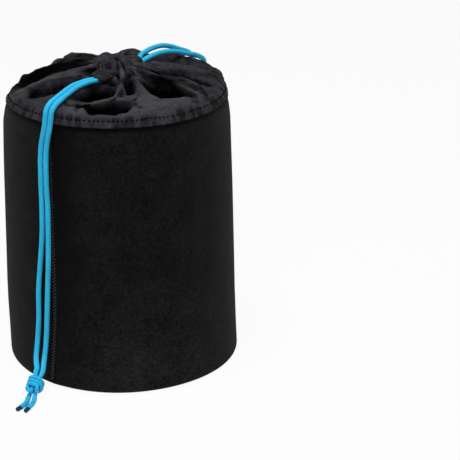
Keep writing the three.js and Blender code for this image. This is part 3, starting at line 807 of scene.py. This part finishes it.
def wall_painted_light(points):
    """Painted shade beside the front cords, on the left, under the hem and at the seam,
    and painted light low on the front.
    """
    angle, height = np.arctan2(points[:, 0], -points[:, 1]), points[:, 2] / MM
    painted_cord_shadow = near_turn(angle, -28.5, 8) * np.interp(
        height, [0, 30, 70, 130, 152], [0.2, 0.3, 0.4, 0.46, 0.46])
    painted_left_shade = 0.25 * np.clip(-np.sin(angle), 0, 1) ** 3
    painted_floor_light = 0.85 * np.interp(height, [0, 12, 30, 60], [0.9, 1, 0.6, 0.1])
    painted_floor_light = painted_floor_light * near_turn(angle, 12, 36)
    painted_seam_shade = 0.3 * np.exp(-(turn_from(angle, seam_turn(points[:, 2])) / math.radians(2.6)) ** 2)
    painted_hem_shadow = 0.55 * np.interp(height, [147.9, 148.6, 152], [0, 1, 1])
    mottle = 0.12 * soft_noise(points, 9 * MM, 21.5) + 0.14 * soft_noise(points, 4.5 * MM, 33.1)
    return 0.47 - painted_cord_shadow - painted_left_shade + painted_floor_light - painted_hem_shadow - painted_seam_shade + mottle


reshape(wall, soften)
paint_light_and_tone(wall, wall_painted_light(points_of(wall)))
finish_piece(wall, KNIT, "knit", "pouch", "wall_panel")

# %% [markdown]
# The base is a disc of the same neoprene, sewn in with its seam inside, so that only a fine line
# shows round it. Its edges are rounded with a bevel, and inset rings let its middle sit a touch
# higher than its edge, as a soft disc does.

# %% Base disc


def soft_disc(name, radius, bottom, thickness, steps=192):
    """A disc with rounded edges and a ring inset on both faces."""
    piece = primitive(bpy.ops.mesh.primitive_cylinder_add, name, vertices=steps, radius=radius,
                      depth=thickness, location=(0, 0, bottom + thickness / 2))
    with editing("faces") as mesh:
        mesh.select_all(action="DESELECT")
    for face in piece.data.polygons:
        face.select = abs(face.normal.z) > 0.9
    with editing() as mesh:
        for inwards in (1.2 * MM,) + (radius / 6.2,) * 5:
            mesh.inset(thickness=inwards, use_individual=True)
        mesh.poke()
    apply_modifier(piece, "BEVEL", width=0.2 * thickness, segments=3, limit_method="ANGLE",
                   angle_limit=math.radians(60))
    return piece


def dish(points):
    """Raises the middle of a disc by half a millimetre."""
    radius = np.hypot(points[:, 0], points[:, 1])
    rise = 0.5 * MM * np.clip(1 - radius / (52 * MM), 0, 1) ** 0.7
    moved = points.copy()
    moved[:, 2] += rise * np.clip(moved[:, 2] / (2 * MM), 0.3, 1)
    return moved


EVEN_RUB = 0.46
base = soft_disc("base", 55.7 * MM, 0, NEOPRENE)
paint_light_and_tone(base, np.full(len(base.data.vertices), EVEN_RUB))
reshape(base, dish)
finish_piece(base, KNIT, "knit", "pouch", "base_disc")

# %% [markdown]
# Inside, the wall and the base are faced with short plush that keeps a lens from scratches, and a
# folded tape binds the seam between them. They are made from the same ring and disc helpers, a
# little further in, and the plush gets a lumpy surface.

# %% Linings and binding
LINING_TOP = 150.3 * MM
plush_wall = extruded_ring(
    "plush_wall", wall_outline(NEOPRENE + 0.3 * MM, LINING_TOP, INNER_STEP)[1:])
apply_modifier(plush_wall, "SOLIDIFY", thickness=0.8 * MM, offset=-1)


def soften_lining(points):
    """Follows the wall, and pushes the pile inwards by up to 0.3 mm in lumps of 3 mm."""
    moved = soften(points)
    radius = np.hypot(moved[:, 0], moved[:, 1])
    push = 0.3 * MM * soft_noise(moved, 3 * MM, 7.7)
    moved[:, :2] *= (1 - np.abs(push) / np.maximum(radius, MM))[:, None]
    return moved


reshape(plush_wall, soften_lining)
finish_piece(plush_wall, PLUSH, "plush", "pouch", "wall_lining")

plush_base = soft_disc("plush_base", 55.6 * MM, 5.0 * MM, 0.8 * MM, steps=128)
reshape(plush_base, dish)
finish_piece(plush_base, PLUSH, "plush", "pouch", "base_lining")

tape_line = [(49.2 * MM, 6.3 * MM), (52.6 * MM, 6.3 * MM)]
tape_line += wall_outline(6.1 * MM, 16 * MM, 1.4 * MM)
binding = extruded_ring("base_binding_tape", tape_line)
apply_modifier(binding, "SOLIDIFY", thickness=0.7 * MM, offset=-1)
reshape(binding, soften)
finish_piece(binding, TAPE, "nylon", "pouch", "base_binding")

# %% [markdown]
# The closure is one piece of nylon taffeta. Its lower edge is turned over the top of the wall
# and sewn down, and its upper edge is drawn together by the cords, so all the spare cloth stands
# in folds. It could be simulated, but here each large fold has to lie where it lies on the real
# pouch. So the cloth starts as a plain dome of rings that ends in the casing, a round hump that
# turns down into the mouth. The dome sags a little at the back and left. Each fold is then a
# stroke across it.

# %% The plain dome
CLOTH_AROUND, CLOTH_ROWS = 500, 96
DOME = ((62.3, 150.3), (61.9, 152.3), (61.3, 154.4), (59.9, 156.5), (57.4, 158.4), (53.8, 160),
        (48.6, 161.5), (42, 163.1), (33, 164.3), (24, 165.2), (17, 166), (12.8, 166.7),
        (10.8, 167.6), (9.7, 168.7), (8.4, 169.6), (6.6, 169.7), (4.9, 169.1), (3.6, 167.9),
        (2.8, 166), (2.5, 163.6))
SAG = ((-75, 2.5), (-90, 5), (-105, 7), (-120, 7.5), (-135, 6), (-150, 3.5), (-165, 2.2), (180, 2),
       (135, 1), (105, 0.8), (90, 1.5), (70, 0.5), (60, 0), (-60, 0.5), (-50, 0))


def plain_dome():
    """Points of the closure as an array of rings by columns, from the hem up to the mouth."""
    line = smooth_path([(r * MM, 0, h * MM) for r, h in DOME], 0.1 * MM)
    along = distance_along(line)
    rows = np.linspace(0, along[-1], CLOTH_ROWS)
    radius, height = np.interp(rows, along, line[:, 0]), np.interp(rows, along, line[:, 2])
    angle = np.linspace(0, 2 * math.pi, CLOTH_AROUND, endpoint=False)
    cloth = np.empty((CLOTH_ROWS, CLOTH_AROUND, 3))
    cloth[..., 0] = radius[:, None] * np.sin(angle)
    cloth[..., 1] = -radius[:, None] * np.cos(angle)
    sag = np.interp(np.degrees(angle), [d for d, _ in SAG], [s for _, s in SAG], period=360)
    share = np.interp(radius / MM, [16, 34, 44, 54, 60, 62.2], [0, 0.35, 1, 1, 0.75, 0])
    cloth[..., 2] = height[:, None] - MM * share[:, None] * sag
    drawn = np.interp(height / MM, [149.5, 155, 159, 163], [0.5, 0.9, 1, 0])[:, None]
    cloth[..., :2] *= (1 - shoulder(angle) * drawn / radius[:, None])[..., None]
    return cloth, rows, angle


cloth, cloth_rows, cloth_angles = plain_dome()
cut_uv = np.stack(np.broadcast_arrays(cloth_angles[None, :] * RIM, cloth_rows[:, None]), axis=-1)
print("cloth rows", CLOTH_ROWS, "each", round(cloth_rows[1] / MM, 2), "mm")

# %% [markdown]
# The folds that nobody listed still exist, all the way round. Between the big strokes the cloth
# rises and falls in soft radial waves of uneven width. They start from nothing at the hem, where
# the cloth is sewn flat, and are strongest halfway to the mouth.

# %% Waves all round
WAVES = ((-35, -0.5), (-15, -0.4), (-4, 0.4), (5, -0.3), (17, 0.7), (36, -0.6), (56, 0.6),
         (77, -0.6), (100, 0.75), (116, -0.9), (136, -1), (158, 0.7), (173, 0.8), (191, -0.5),
         (205, 0.7), (228, -0.2), (249, -0.7), (288, 0.7), (308, -0.4), (325, -0.5))
degrees = np.degrees(cloth_angles)
wave = np.interp(degrees, [d for d, _ in WAVES], [w for _, w in WAVES], period=360)
wave = np.convolve(np.tile(wave, 3), np.hanning(27) / np.hanning(27).sum(), "same")[
    CLOTH_AROUND:2 * CLOTH_AROUND]
ring = np.hypot(cloth[..., 0], cloth[..., 1]) / MM
swell = np.interp(ring, [10, 14, 25, 45, 55, 60], [0, 0.5, 1, 0.8, 0.3, 0])
cloth[..., 2] += 2.6 * MM * swell * wave[None, :]
print("waves", len(WAVES), "highest", round(float(cloth[..., 2].max()) / MM, 1), "mm")

# %% [markdown]
# Each stroke below has a width, a line of points (x, y, height), and a lean sideways, all in
# millimetres. Crests are the soft ridges that run from the mouth towards the hem. Valleys are the
# dark pockets between them, and their lean draws the cloth back under the ridge in front. What
# stands out after all strokes gets painted light, and what lies deep gets painted shade.

# %% Folds as strokes
STROKES = (
    # Left ridge, which curls round the dark hollow below it
    (3.4, ((-5, -10, 168), (-9, -13, 167.3), (-17, -12.8, 166.4), (-28.7, -14, 165.2),
           (-37.7, -16, 163.8), (-45.5, -19.3, 161.8), (-48.5, -26, 160), (-47, -32, 158.8)),
     (0, -1.6)),
    (4.4, ((-14, -19.5, 161), (-20, -22.5, 157), (-27, -25.5, 154), (-34, -27.5, 153.5),
           (-41, -29, 156.5)), (0, 6)),
    # Dark line and ridge at the back left
    (3.0, ((-9, 0, 164.6), (-17.6, 1.5, 161.2), (-27.6, 2, 159), (-36.4, 3.5, 157.6),
           (-43.3, 4, 156.2), (-50, 3, 155.6), (-54.3, 1, 155.6)), (0, 3)),
    (4.2, ((-6, 8, 168), (-12, 14, 167.2), (-20, 18, 166), (-30, 19, 163.8), (-42, 17, 160.4),
           (-50, 13, 158.6)), (0, 0)),
    # Two peaks at the back, with a valley between them
    (5.0, ((-6, 10, 168), (-13, 20, 166.8), (-20, 34, 164.6), (-25, 50, 160.6)), (0, 0)),
    (5.5, ((-10, 12, 166.6), (-20, 24, 164.6), (-28, 36, 161.4), (-32, 46, 158.4)), (0, 0)),
    (5.0, ((3, 11, 168), (6.5, 22, 168), (9, 38, 165.6), (10, 53, 161.2)), (0, 0)),
    (4.0, ((-3, 14, 165.4), (-5, 28, 164), (-6, 45, 161.6)), (0, 0)),
    # Upper right ridge, with the dark hollow before it, and the cloth behind it
    (6.0, ((28, 30, 164.8), (38, 28, 163.8), (47, 22, 162), (53, 14, 159.6)), (0, 0)),
    (3.6, ((8, -5, 168.4), (18.4, -3, 166.9), (30.4, -3, 165.4), (40, 0, 163.8), (50, 4, 161)),
     (0, -1)),
    (3.6, ((20, -11, 163), (30, -12, 159.5), (40, -12, 157), (49, -15, 156.6)), (0, 4)),
    # Right ridge, and the long dark valley before it
    (3.2, ((7.4, -11, 168.2), (12.8, -14.4, 167.8), (21.6, -19.4, 167), (29.8, -24.2, 165.4),
           (35.8, -29, 163.4), (40.5, -34, 161.2)), (-0.3, -2.2)),
    (5.2, ((15.5, -30, 157.5), (21, -36, 153.5), (27, -38, 152), (32, -37.5, 152.8),
           (36.5, -38, 156)), (0.3, 7.5)),
    (4.0, ((18, -51, 160.4), (25, -47.5, 160.3), (31, -44.5, 160), (36, -41, 159.7)), (0, 0)),
    # Tab of cloth in front of the mouth, and the hollow below it
    (4.0, ((1.5, -12, 167.2), (0.5, -18, 165.8), (-0.5, -24, 163.8), (-1, -28, 162)), (0, 0)),
    (4.0, ((-3, -12, 167.2), (-5, -18, 165.4), (-6.5, -23, 163.4)), (0, 0)),
    (5.2, ((-19, -43, 157.5), (-14, -41, 154.5), (-8.5, -40, 152.5), (-4, -39.5, 153.5),
           (-2, -40, 156.5)), (0, 6.5)),
    # Lit puff right of the middle, and its black hollow
    (4.4, ((5, -13, 168), (8.6, -24, 166.7), (11, -33, 165.4), (13, -43, 163.3), (14.5, -51, 161.4),
           (15.5, -57, 159.2)), (0, 0)),
    (2.7, ((4.8, -20, 161.5), (6.0, -27, 157), (7.0, -34, 156.5), (7.4, -40, 158)), (0, 3)),
    # Middle ridge, which turns left over the black pocket
    (1.9, ((2.8, -12, 168), (3.4, -17, 167.6), (2.6, -27, 165.2), (1.2, -36, 164),
           (-0.5, -43, 163.2), (-2.8, -47.5, 162.2), (-6.7, -49.5, 161.6), (-10.8, -50, 160.9),
           (-14.9, -49.5, 160), (-19, -49, 159)), (0, -1.6)),
    (4.0, ((-17, -52.8, 157), (-13, -54.2, 152.8), (-6.8, -54.5, 151), (-0.4, -54, 150.5),
           (3.4, -54.2, 153)), (0, 9.0)),
    # The low ridge that carries the front cords
    (2.6, ((-13, -20, 163), (-19.3, -28.5, 163), (-22.8, -33.5, 162.8), (-26.5, -40, 161.9),
           (-30, -46.5, 160.7), (-33, -52, 159.4)), (0, 0)),
)


def stroke_pull(cloth, points, width):
    """How near each point is to a stroke, as a share, and the stroke's height there."""
    plan = cloth[..., :2].reshape(-1, 2) / MM
    nearest = np.full(len(plan), 1e9)
    height = np.zeros(len(plan))
    points = smooth_path(points, 1.5)
    for a, b in zip(points[:-1], points[1:]):
        span = b[:2] - a[:2]
        share = np.clip(((plan - a[:2]) @ span) / (span @ span), 0, 1)
        distance = np.linalg.norm(plan - a[:2] - share[:, None] * span, axis=1)
        closer = distance < nearest
        nearest = np.where(closer, distance, nearest)
        height = np.where(closer, a[2] + share * (b[2] - a[2]), height)
    pull = np.exp(-(nearest / width) ** 2.4)
    return pull.reshape(cloth.shape[:2]), height.reshape(cloth.shape[:2]) * MM


plain = cloth.copy()
lean = np.zeros_like(cloth)
on_top = np.clip((ring - 10) / 4, 0, 1) * np.clip((61.6 - ring) / 2, 0, 1)
for width, points, slant in STROKES:
    pull, height = stroke_pull(plain, points, width)
    pull = pull * on_top
    cloth[..., 2] += (height - cloth[..., 2]) * pull
    lean += (np.array((*slant, 0)) * MM - lean) * pull[..., None]
cloth += lean * np.clip((60 - ring) / 3, 0, 1)[..., None]


def relax(cloth, times, strength=0.5):
    """Evens the cloth out between neighbours, and holds its two edges."""
    for _ in range(times):
        mean = np.roll(cloth, 1, 1) + np.roll(cloth, -1, 1)
        mean[1:-1] += cloth[2:] + cloth[:-2]
        mean[1:-1] /= 4
        cloth[1:-1] += strength * (mean[1:-1] - cloth[1:-1])
    return cloth


cloth = relax(cloth, 3)
folded = cloth - plain
broad = relax(folded.copy(), 50)
crisp = np.interp(ring, [9, 13, 57, 61], [0, 0.5, 0.5, 0])[..., None]
cloth += crisp * (folded - broad)
# Painted light on what stands out of the folds, and painted shade in what lies deep.
painted_light_value = np.clip(0.47 + (folded - broad)[..., 2] / (3.4 * MM), -0.2, 1.1)
print("strokes", len(STROKES), "lowest pocket", round(float(cloth[40:, :, 2].min()) / MM, 1), "mm")

# %% [markdown]
# Thin nylon also crumples. Fine pleats leave the mouth and fade within a few centimetres, weaker
# creases run along and across the folds, pinches start at the hem, and the line of stitches
# puckers the cloth there. All of this is noise, stretched along the folds, and pushed along the
# surface's normal. The same noise paints light on the pleats and ruffles where they stand out and
# shade where they lie deep, with some random tone. More painted light falls towards the front,
# and a list of round patches paints shade (above 0) where one deep fold shades another, and light
# (below 0) where the cloth catches it.

# %% Pleats, creases and puckers
# x, y, width and amount of each patch
PAINTED_SHADE_AND_LIGHT = (
    (-45, 12, 12, 0.6), (-34, 20, 14, 0.6), (-22, 26, 10, 0.45), (-20, 9, 10, 0.5),
    (-54, -2, 6, 0.3), (-9, -29, 10.5, 0.6), (-12, -25, 7, 0.35), (21, -27, 9, 0.5),
    (31, -27, 8, 0.5), (34, -8, 7, 0.3), (-28, -19, 6, 0.4), (-37, -21, 5, 0.3),
    (6, -28, 5, 0.55), (8, -21, 4, 0.3), (-1, 18, 7, 0.2), (-8, -46, 7, 0.25),
    (-28, -13, 7, -0.25), (-40, -16, 8, -0.3), (-49, -14, 8, -0.3), (0, -52, 12, -0.2),
    (22, -49, 12, -0.25), (40, -37, 12, -0.3), (-25, -50, 12, -0.2), (-42, 26, 12, 0.3),
    (34, 10, 15, -0.2), (10, -38, 8, 0.12), (-43, -7, 6, -0.3))


def cloth_normals(cloth):
    around = np.roll(cloth, -1, 1) - np.roll(cloth, 1, 1)
    normal = np.cross(around, np.gradient(cloth, axis=0))
    return normal / np.maximum(np.linalg.norm(normal, axis=2, keepdims=True), 1e-12)


def polar_noise(turns, steps, seed):
    """Noise over the cloth, with about the given number of features round it and up it."""
    out = np.empty((CLOTH_ROWS, CLOTH_AROUND))
    reach = turns / (2 * math.pi)
    rows = np.linspace(0, steps, CLOTH_ROWS)
    for j, a in enumerate(cloth_angles):
        x, y = reach * math.cos(a), reach * math.sin(a)
        out[:, j] = [noise.noise(Vector((x, y, row + seed))) for row in rows]
    return out


def creases(turns, steps, seed):
    """Noise with sharp crests, from -1 to 1."""
    return 1 - 4 * np.abs(polar_noise(turns, steps, seed))


ring = np.hypot(cloth[..., 0], cloth[..., 1]) / MM
near_mouth = np.interp(ring, [2.5, 5, 8, 10, 13, 22, 36], [0.8, 0.9, 0.8, 0.9, 1, 0.5, 0])
beside_mouth = np.interp(ring, [8, 11, 18, 30], [0, 1, 0.8, 0])
mid_cloth = np.interp(ring, [9, 12, 25, 50, 60, 62], [0, 0.3, 1, 1, 0.5, 0.15])
pleats = 1.3 * near_mouth * creases(30, 3, 5.3) + 0.8 * near_mouth * creases(64, 6, 1.9)
pleats += 0.5 * beside_mouth * creases(120, 7, 22.8)
pleats = np.where(ring < 11.5, np.maximum(pleats, -0.25), pleats)
push = pleats + 0.30 * mid_cloth * creases(16, 4, 12.1)
push += 0.16 * mid_cloth * creases(34, 9, 31.7)
push += 0.12 * mid_cloth * creases(60, 26, 47.3)
above_hem = np.interp(ring, [40, 50, 58, 60.5], [0, 1, 0.8, 0])
pinches = above_hem * np.maximum(creases(24, 5, 83.4), 0) ** 2
push -= 0.9 * pinches
gathers = np.interp(ring, [8, 11, 18, 26], [0.45, 0.75, 0.6, 0.42])
# Painted shade in the pinches and between pleats, painted light on the pleats' crests, and random
# tone.
painted_light_value = painted_light_value - 0.5 * pinches + gathers * pleats + 0.22 * polar_noise(70, 30, 90.4)
forward = -cloth[..., 1] / (62 * MM)
# Painted light that grows towards the front, and painted shade towards the back.
painted_front_light = np.interp(forward, [-0.6, -0.1, 0.3, 0.7, 0.95], [-0.12, -0.08, 0, 0.18, 0.38])
painted_light_value += painted_front_light * (painted_light_value > 0.25)
# Round patches of painted shade (above 0) and painted light (below 0).
for x, y, wide, amount in PAINTED_SHADE_AND_LIGHT:
    away = np.hypot(cloth[..., 0] / MM - x, cloth[..., 1] / MM - y) / wide
    painted_light_value = painted_light_value - amount * np.exp(-away ** 4)
painted_light_value = np.clip(painted_light_value, 0, 1) ** 1.25
hem_height = cloth[..., 2] / MM
sewn = np.exp(-((hem_height - 153.7) / 1.1) ** 2) * (ring > 61)
loose = np.exp(-((hem_height - 157.5) / 2.2) ** 2) * (ring > 58)
push += loose * (0.8 * creases(40, 6, 60.2) + 0.1) - 0.3 * sewn
band = np.clip((157 - hem_height) / 2, 0, 1) * (ring > 56)
ruffle = np.maximum(creases(85, 5, 66.6), -0.6)
# On the hem band: painted light on the ruffles' crests and painted shade between them, with random
# tone.
painted_light_value = painted_light_value + (0.46 + 0.3 * ruffle + 0.2 * polar_noise(160, 30, 17.3) - painted_light_value) * band
push += 0.26 * ruffle * band + 0.18 * polar_noise(150, 8, 71.0) * (sewn + loose)
cloth += (push * MM)[..., None] * cloth_normals(cloth)
print("crumple", round(float(push.min()), 2), "to", round(float(push.max()), 2), "mm")

# %% [markdown]
# The front pair of strands lies on the cloth and presses it down a little, and each sleeve of the
# casing lies in a soft trough. So the cloth is held just below them, with the edge of the hollow
# rounded off. The rear pair arches free and touches nothing. Where the cloth passes over the top
# of the wall it can't sink into it, so it is lifted there.

# %% Room for the cords and sleeves
pressed = []
for cord_name, route in ROUTES.items():
    low = 1.55 if cord_name == "front_cord" else 1.9
    for hand, across in (("right", 1), ("left", -1)):
        start = sleeve_point(route, route["reach"], across * route["spread"])
        line = smooth_path([start] + route[hand]["run"], 0.7 * MM)
        pressed += [(p, low, 2.3) for p in line if np.hypot(p[0], p[1]) < 63 * MM]
    for out in np.arange(12, route["reach"] / MM + 0.5, 0.7):
        for across in (-3, 0, 3):
            pressed.append((sleeve_point(route, out * MM, across * MM), 2.4, 3.2))
plan = cloth.reshape(-1, 3)
for p, low, reach in pressed:
    distance = np.linalg.norm(plan[:, :2] - p[:2], axis=1) / MM
    near = (distance < reach + 3) & (ring.ravel() > 10.5)
    room = (p[2] / MM - low + 0.22 * np.maximum(distance[near] - reach * 0.5, 0) ** 2) * MM
    plan[near, 2] = np.minimum(plan[near, 2], np.maximum(room, 154 * MM))
cloth = plan.reshape(cloth.shape)
over_wall = np.hypot(cloth[..., 0], cloth[..., 1]) + 0.9 * shoulder(cloth_angles)
lowest = np.interp(over_wall / MM, [51, 55], [150, 155.6]) * MM
lifted = np.maximum(cloth[..., 2], lowest)
cloth[..., 2] = np.where(plain[..., 2] > 156.2 * MM, lifted, cloth[..., 2])
print("pressed points", len(pressed))

# %% [markdown]
# The rings become one mesh with a UV map of the flat cut, and a solidify modifier gives the
# cloth its thickness. The flat cut narrows from the hem towards the casing.

# %% Closure mesh
index = np.arange(CLOTH_ROWS * CLOTH_AROUND).reshape(CLOTH_ROWS, CLOTH_AROUND)
beside = np.roll(index, -1, 1)
faces = np.stack([index[:-1], beside[:-1], beside[1:], index[1:]], axis=-1).reshape(-1, 4)
closure = make_mesh("closure_cloth", cloth.reshape(-1, 3), faces.tolist(), cut_uv.reshape(-1, 2),
                    {"painted_light_and_tone": painted_light_value.ravel()}, whole_turn=2 * math.pi * RIM)
apply_modifier(closure, "SOLIDIFY", thickness=0.35 * MM, offset=-1)
finish_piece(closure, NYLON, "nylon", None, "skirt_hem", "closure_skirt", "drawstring_casing",
             smooth_below=None)
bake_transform(closure)

# %% [markdown]
# Each pair of strands leaves the casing by a short sleeve, a flat tube of the same nylon. It is a
# cylinder that is flattened and narrowed towards its open end, where an inset face is pushed
# back inside to leave a hem. It lies in its trough, and small wrinkles run along it from the
# pull of the cords.

# %% Sleeves
for cord_name, route in ROUTES.items():
    inner_end = 6 * MM
    reach = route["reach"] + (2.4 * MM if cord_name == "front_cord" else 0.4 * MM)
    sleeve = primitive(bpy.ops.mesh.primitive_cylinder_add, cord_name.replace("cord", "sleeve"),
                       vertices=72, radius=1, depth=reach - inner_end,
                       location=(0, 0, (reach + inner_end) / 2))
    top_face = max(sleeve.data.polygons, key=lambda face: face.center.z)
    for face in sleeve.data.polygons:
        face.select = face == top_face
    with editing("faces") as mesh:
        mesh.inset(thickness=0.17)
        mesh.extrude_region_move(TRANSFORM_OT_translate={"value": (0, 0, -4 * MM)})
        mesh.select_all(action="DESELECT")
    for edge in sleeve.data.edges:
        low, high = [sleeve.data.vertices[i].co.z for i in edge.vertices]
        edge.select = abs(high - low) > MM
    with editing("edges") as mesh:
        mesh.subdivide_edgering(number_cuts=24, interpolation="LINEAR", smoothness=0)

    def flatten(points, route=route, inner_end=inner_end, reach=reach):
        """Turns the round tube into a flat one that narrows outwards, along its cord."""
        out = points[:, 2]
        share = np.clip((out - inner_end) / (reach - inner_end), 0, 1)
        half_width = np.interp(share, [0, 0.4, 0.8, 1], [7.2 * MM, 6.8 * MM, 5.8 * MM, 4.6 * MM])
        half_height = np.interp(share, [0, 0.5, 1], [2.8 * MM, 2.5 * MM, 2.25 * MM])
        turn = np.arctan2(points[:, 1], points[:, 0])
        size = np.hypot(points[:, 0], points[:, 1])
        places = np.column_stack([3.2 * np.cos(turn), 3.2 * np.sin(turn), out / (7 * MM) + 40])
        wrinkle = np.array([noise.noise(Vector(place)) for place in places])
        size = size * (1 + 0.13 * wrinkle * np.clip(share * 3, 0, 1))
        across = half_width * size * np.sign(np.cos(turn)) * np.abs(np.cos(turn)) ** 0.8
        up = half_height * size * np.sign(np.sin(turn)) * np.abs(np.sin(turn)) ** 0.8
        skew = (0.5 if route["reach"] > 20 * MM else 0) * share
        base = np.array([sleeve_point(route, o - k * a, -a) for o, a, k in zip(out, across, skew)])
        base[:, 2] += up + 0.25 * MM
        return base

    reshape(sleeve, flatten)
    with editing() as mesh:
        mesh.select_all(action="SELECT")
        mesh.normals_make_consistent(inside=False)
    apply_modifier(sleeve, "SUBSURF", levels=1, render_levels=1)
    paint_light_and_tone(sleeve, 0.33 + 0.3 * soft_noise(points_of(sleeve), 3 * MM, 14.2))
    finish_piece(sleeve, NYLON, "nylon", "mouth", "drawstring_casing", smooth_below=70)

# %% [markdown]
# The seams are sewn with black thread. A stitch is a short bead of thread that dips into the
# cloth at both ends. It is modelled once, from an eight-sided rod with tapered ends, and then
# copied: in a level row round the hem, and in slanted steps up the side seam, where a zigzag
# stitch holds the two edges of the wall together.

# %% One stitch


def one_stitch(length, thickness):
    """A bead of thread along X that bulges along Y and dips at both ends."""
    stitch = primitive(bpy.ops.mesh.primitive_cylinder_add, "stitch", vertices=8,
                       radius=thickness / 2, depth=length / 2, rotation=(0, math.pi / 2, 0))
    for sign in (1, -1):
        for face in stitch.data.polygons:
            face.select = face.normal.x * sign > 0.9
        for vertex in stitch.data.vertices:
            vertex.select = vertex.co.x * sign > 0
        with editing("faces") as mesh:
            for step, size in ((0.17, 0.8), (0.08, 0.4)):
                move = (sign * step * length, -0.35 * step * length, 0)
                mesh.extrude_region_move(TRANSFORM_OT_translate={"value": move})
                bpy.ops.transform.resize(value=(size, size, size))
    return stitch


def sew(name, places, length, thickness):
    """Copies one stitch to each place, given as a middle, a direction and an outward normal."""
    stitch = one_stitch(length, thickness)
    corner = points_of(stitch)
    rings = [list(face.vertices) for face in stitch.data.polygons]
    bpy.data.objects.remove(stitch)
    points, faces = [], []
    for middle, along, out in places:
        along, out = np.array(along) / np.linalg.norm(along), np.array(out) / np.linalg.norm(out)
        turn = np.column_stack([along, out, np.cross(along, out)])
        faces += [[i + len(corner) * len(points) for i in ring] for ring in rings]
        points.append(corner @ turn.T + middle)
    row = make_mesh(name, np.vstack(points), faces)
    wrap_uv(row)
    print(name, len(places), "stitches")
    return row


HEM_STITCHING, HEM_PITCH = 153.6 * MM, 2.5 * MM
hem_row = np.argmin(np.abs(cloth[:14, :, 2].mean(axis=1) - HEM_STITCHING))
hem_line, hem_normal = cloth[hem_row], cloth_normals(cloth)[hem_row]
hem_places = []
count = int(2 * math.pi * RIM / HEM_PITCH)
for i in range(count):
    j = int(round(i * CLOTH_AROUND / count)) % CLOTH_AROUND
    along = hem_line[(j + 2) % CLOTH_AROUND] - hem_line[j - 2]
    hem_places.append((hem_line[j] + 0.06 * MM * hem_normal[j], along, hem_normal[j]))
hem_stitches = sew("hem_stitches", hem_places, 1.7 * MM, 0.85 * MM)
# The hem's stitches take the darker copy of the thread: painted shade.
finish_piece(hem_stitches, THREAD_IN_PAINTED_SHADE, "thread", "pouch", smooth_below=None)

SEAM_STITCHES, SEAM_FOOT, SEAM_STEP, SEAM_RISE = 80, 4.5, 1.8, 0.9
seam_places = []
for i in range(SEAM_STITCHES):
    height = (SEAM_FOOT + i * SEAM_STEP) * MM
    aside = 0.6 + 0.7 * float(np.interp(height, [0.06, 0.1], [0, 1]))
    shift = 0.12 * MM * math.sin(i * 2.3) - aside * MM
    radius = wall_radius(height) + 0.12 * MM
    turn = float(seam_turn(height))
    out = np.array((math.sin(turn), -math.cos(turn), 0))
    side = np.array((math.cos(turn), math.sin(turn), 0))
    at = np.array([[radius * out[0], radius * out[1], height]])
    middle = soften(at)[0] + 0.35 * MM * out + shift * side
    seam_places.append((middle, side + SEAM_RISE * np.array((0, 0, 1)), out))
seam_stitches = sew("side_seam_stitches", seam_places, 3.8 * MM, 0.55 * MM)
finish_piece(seam_stitches, THREAD, "thread", "pouch", "side_seam", smooth_below=None)
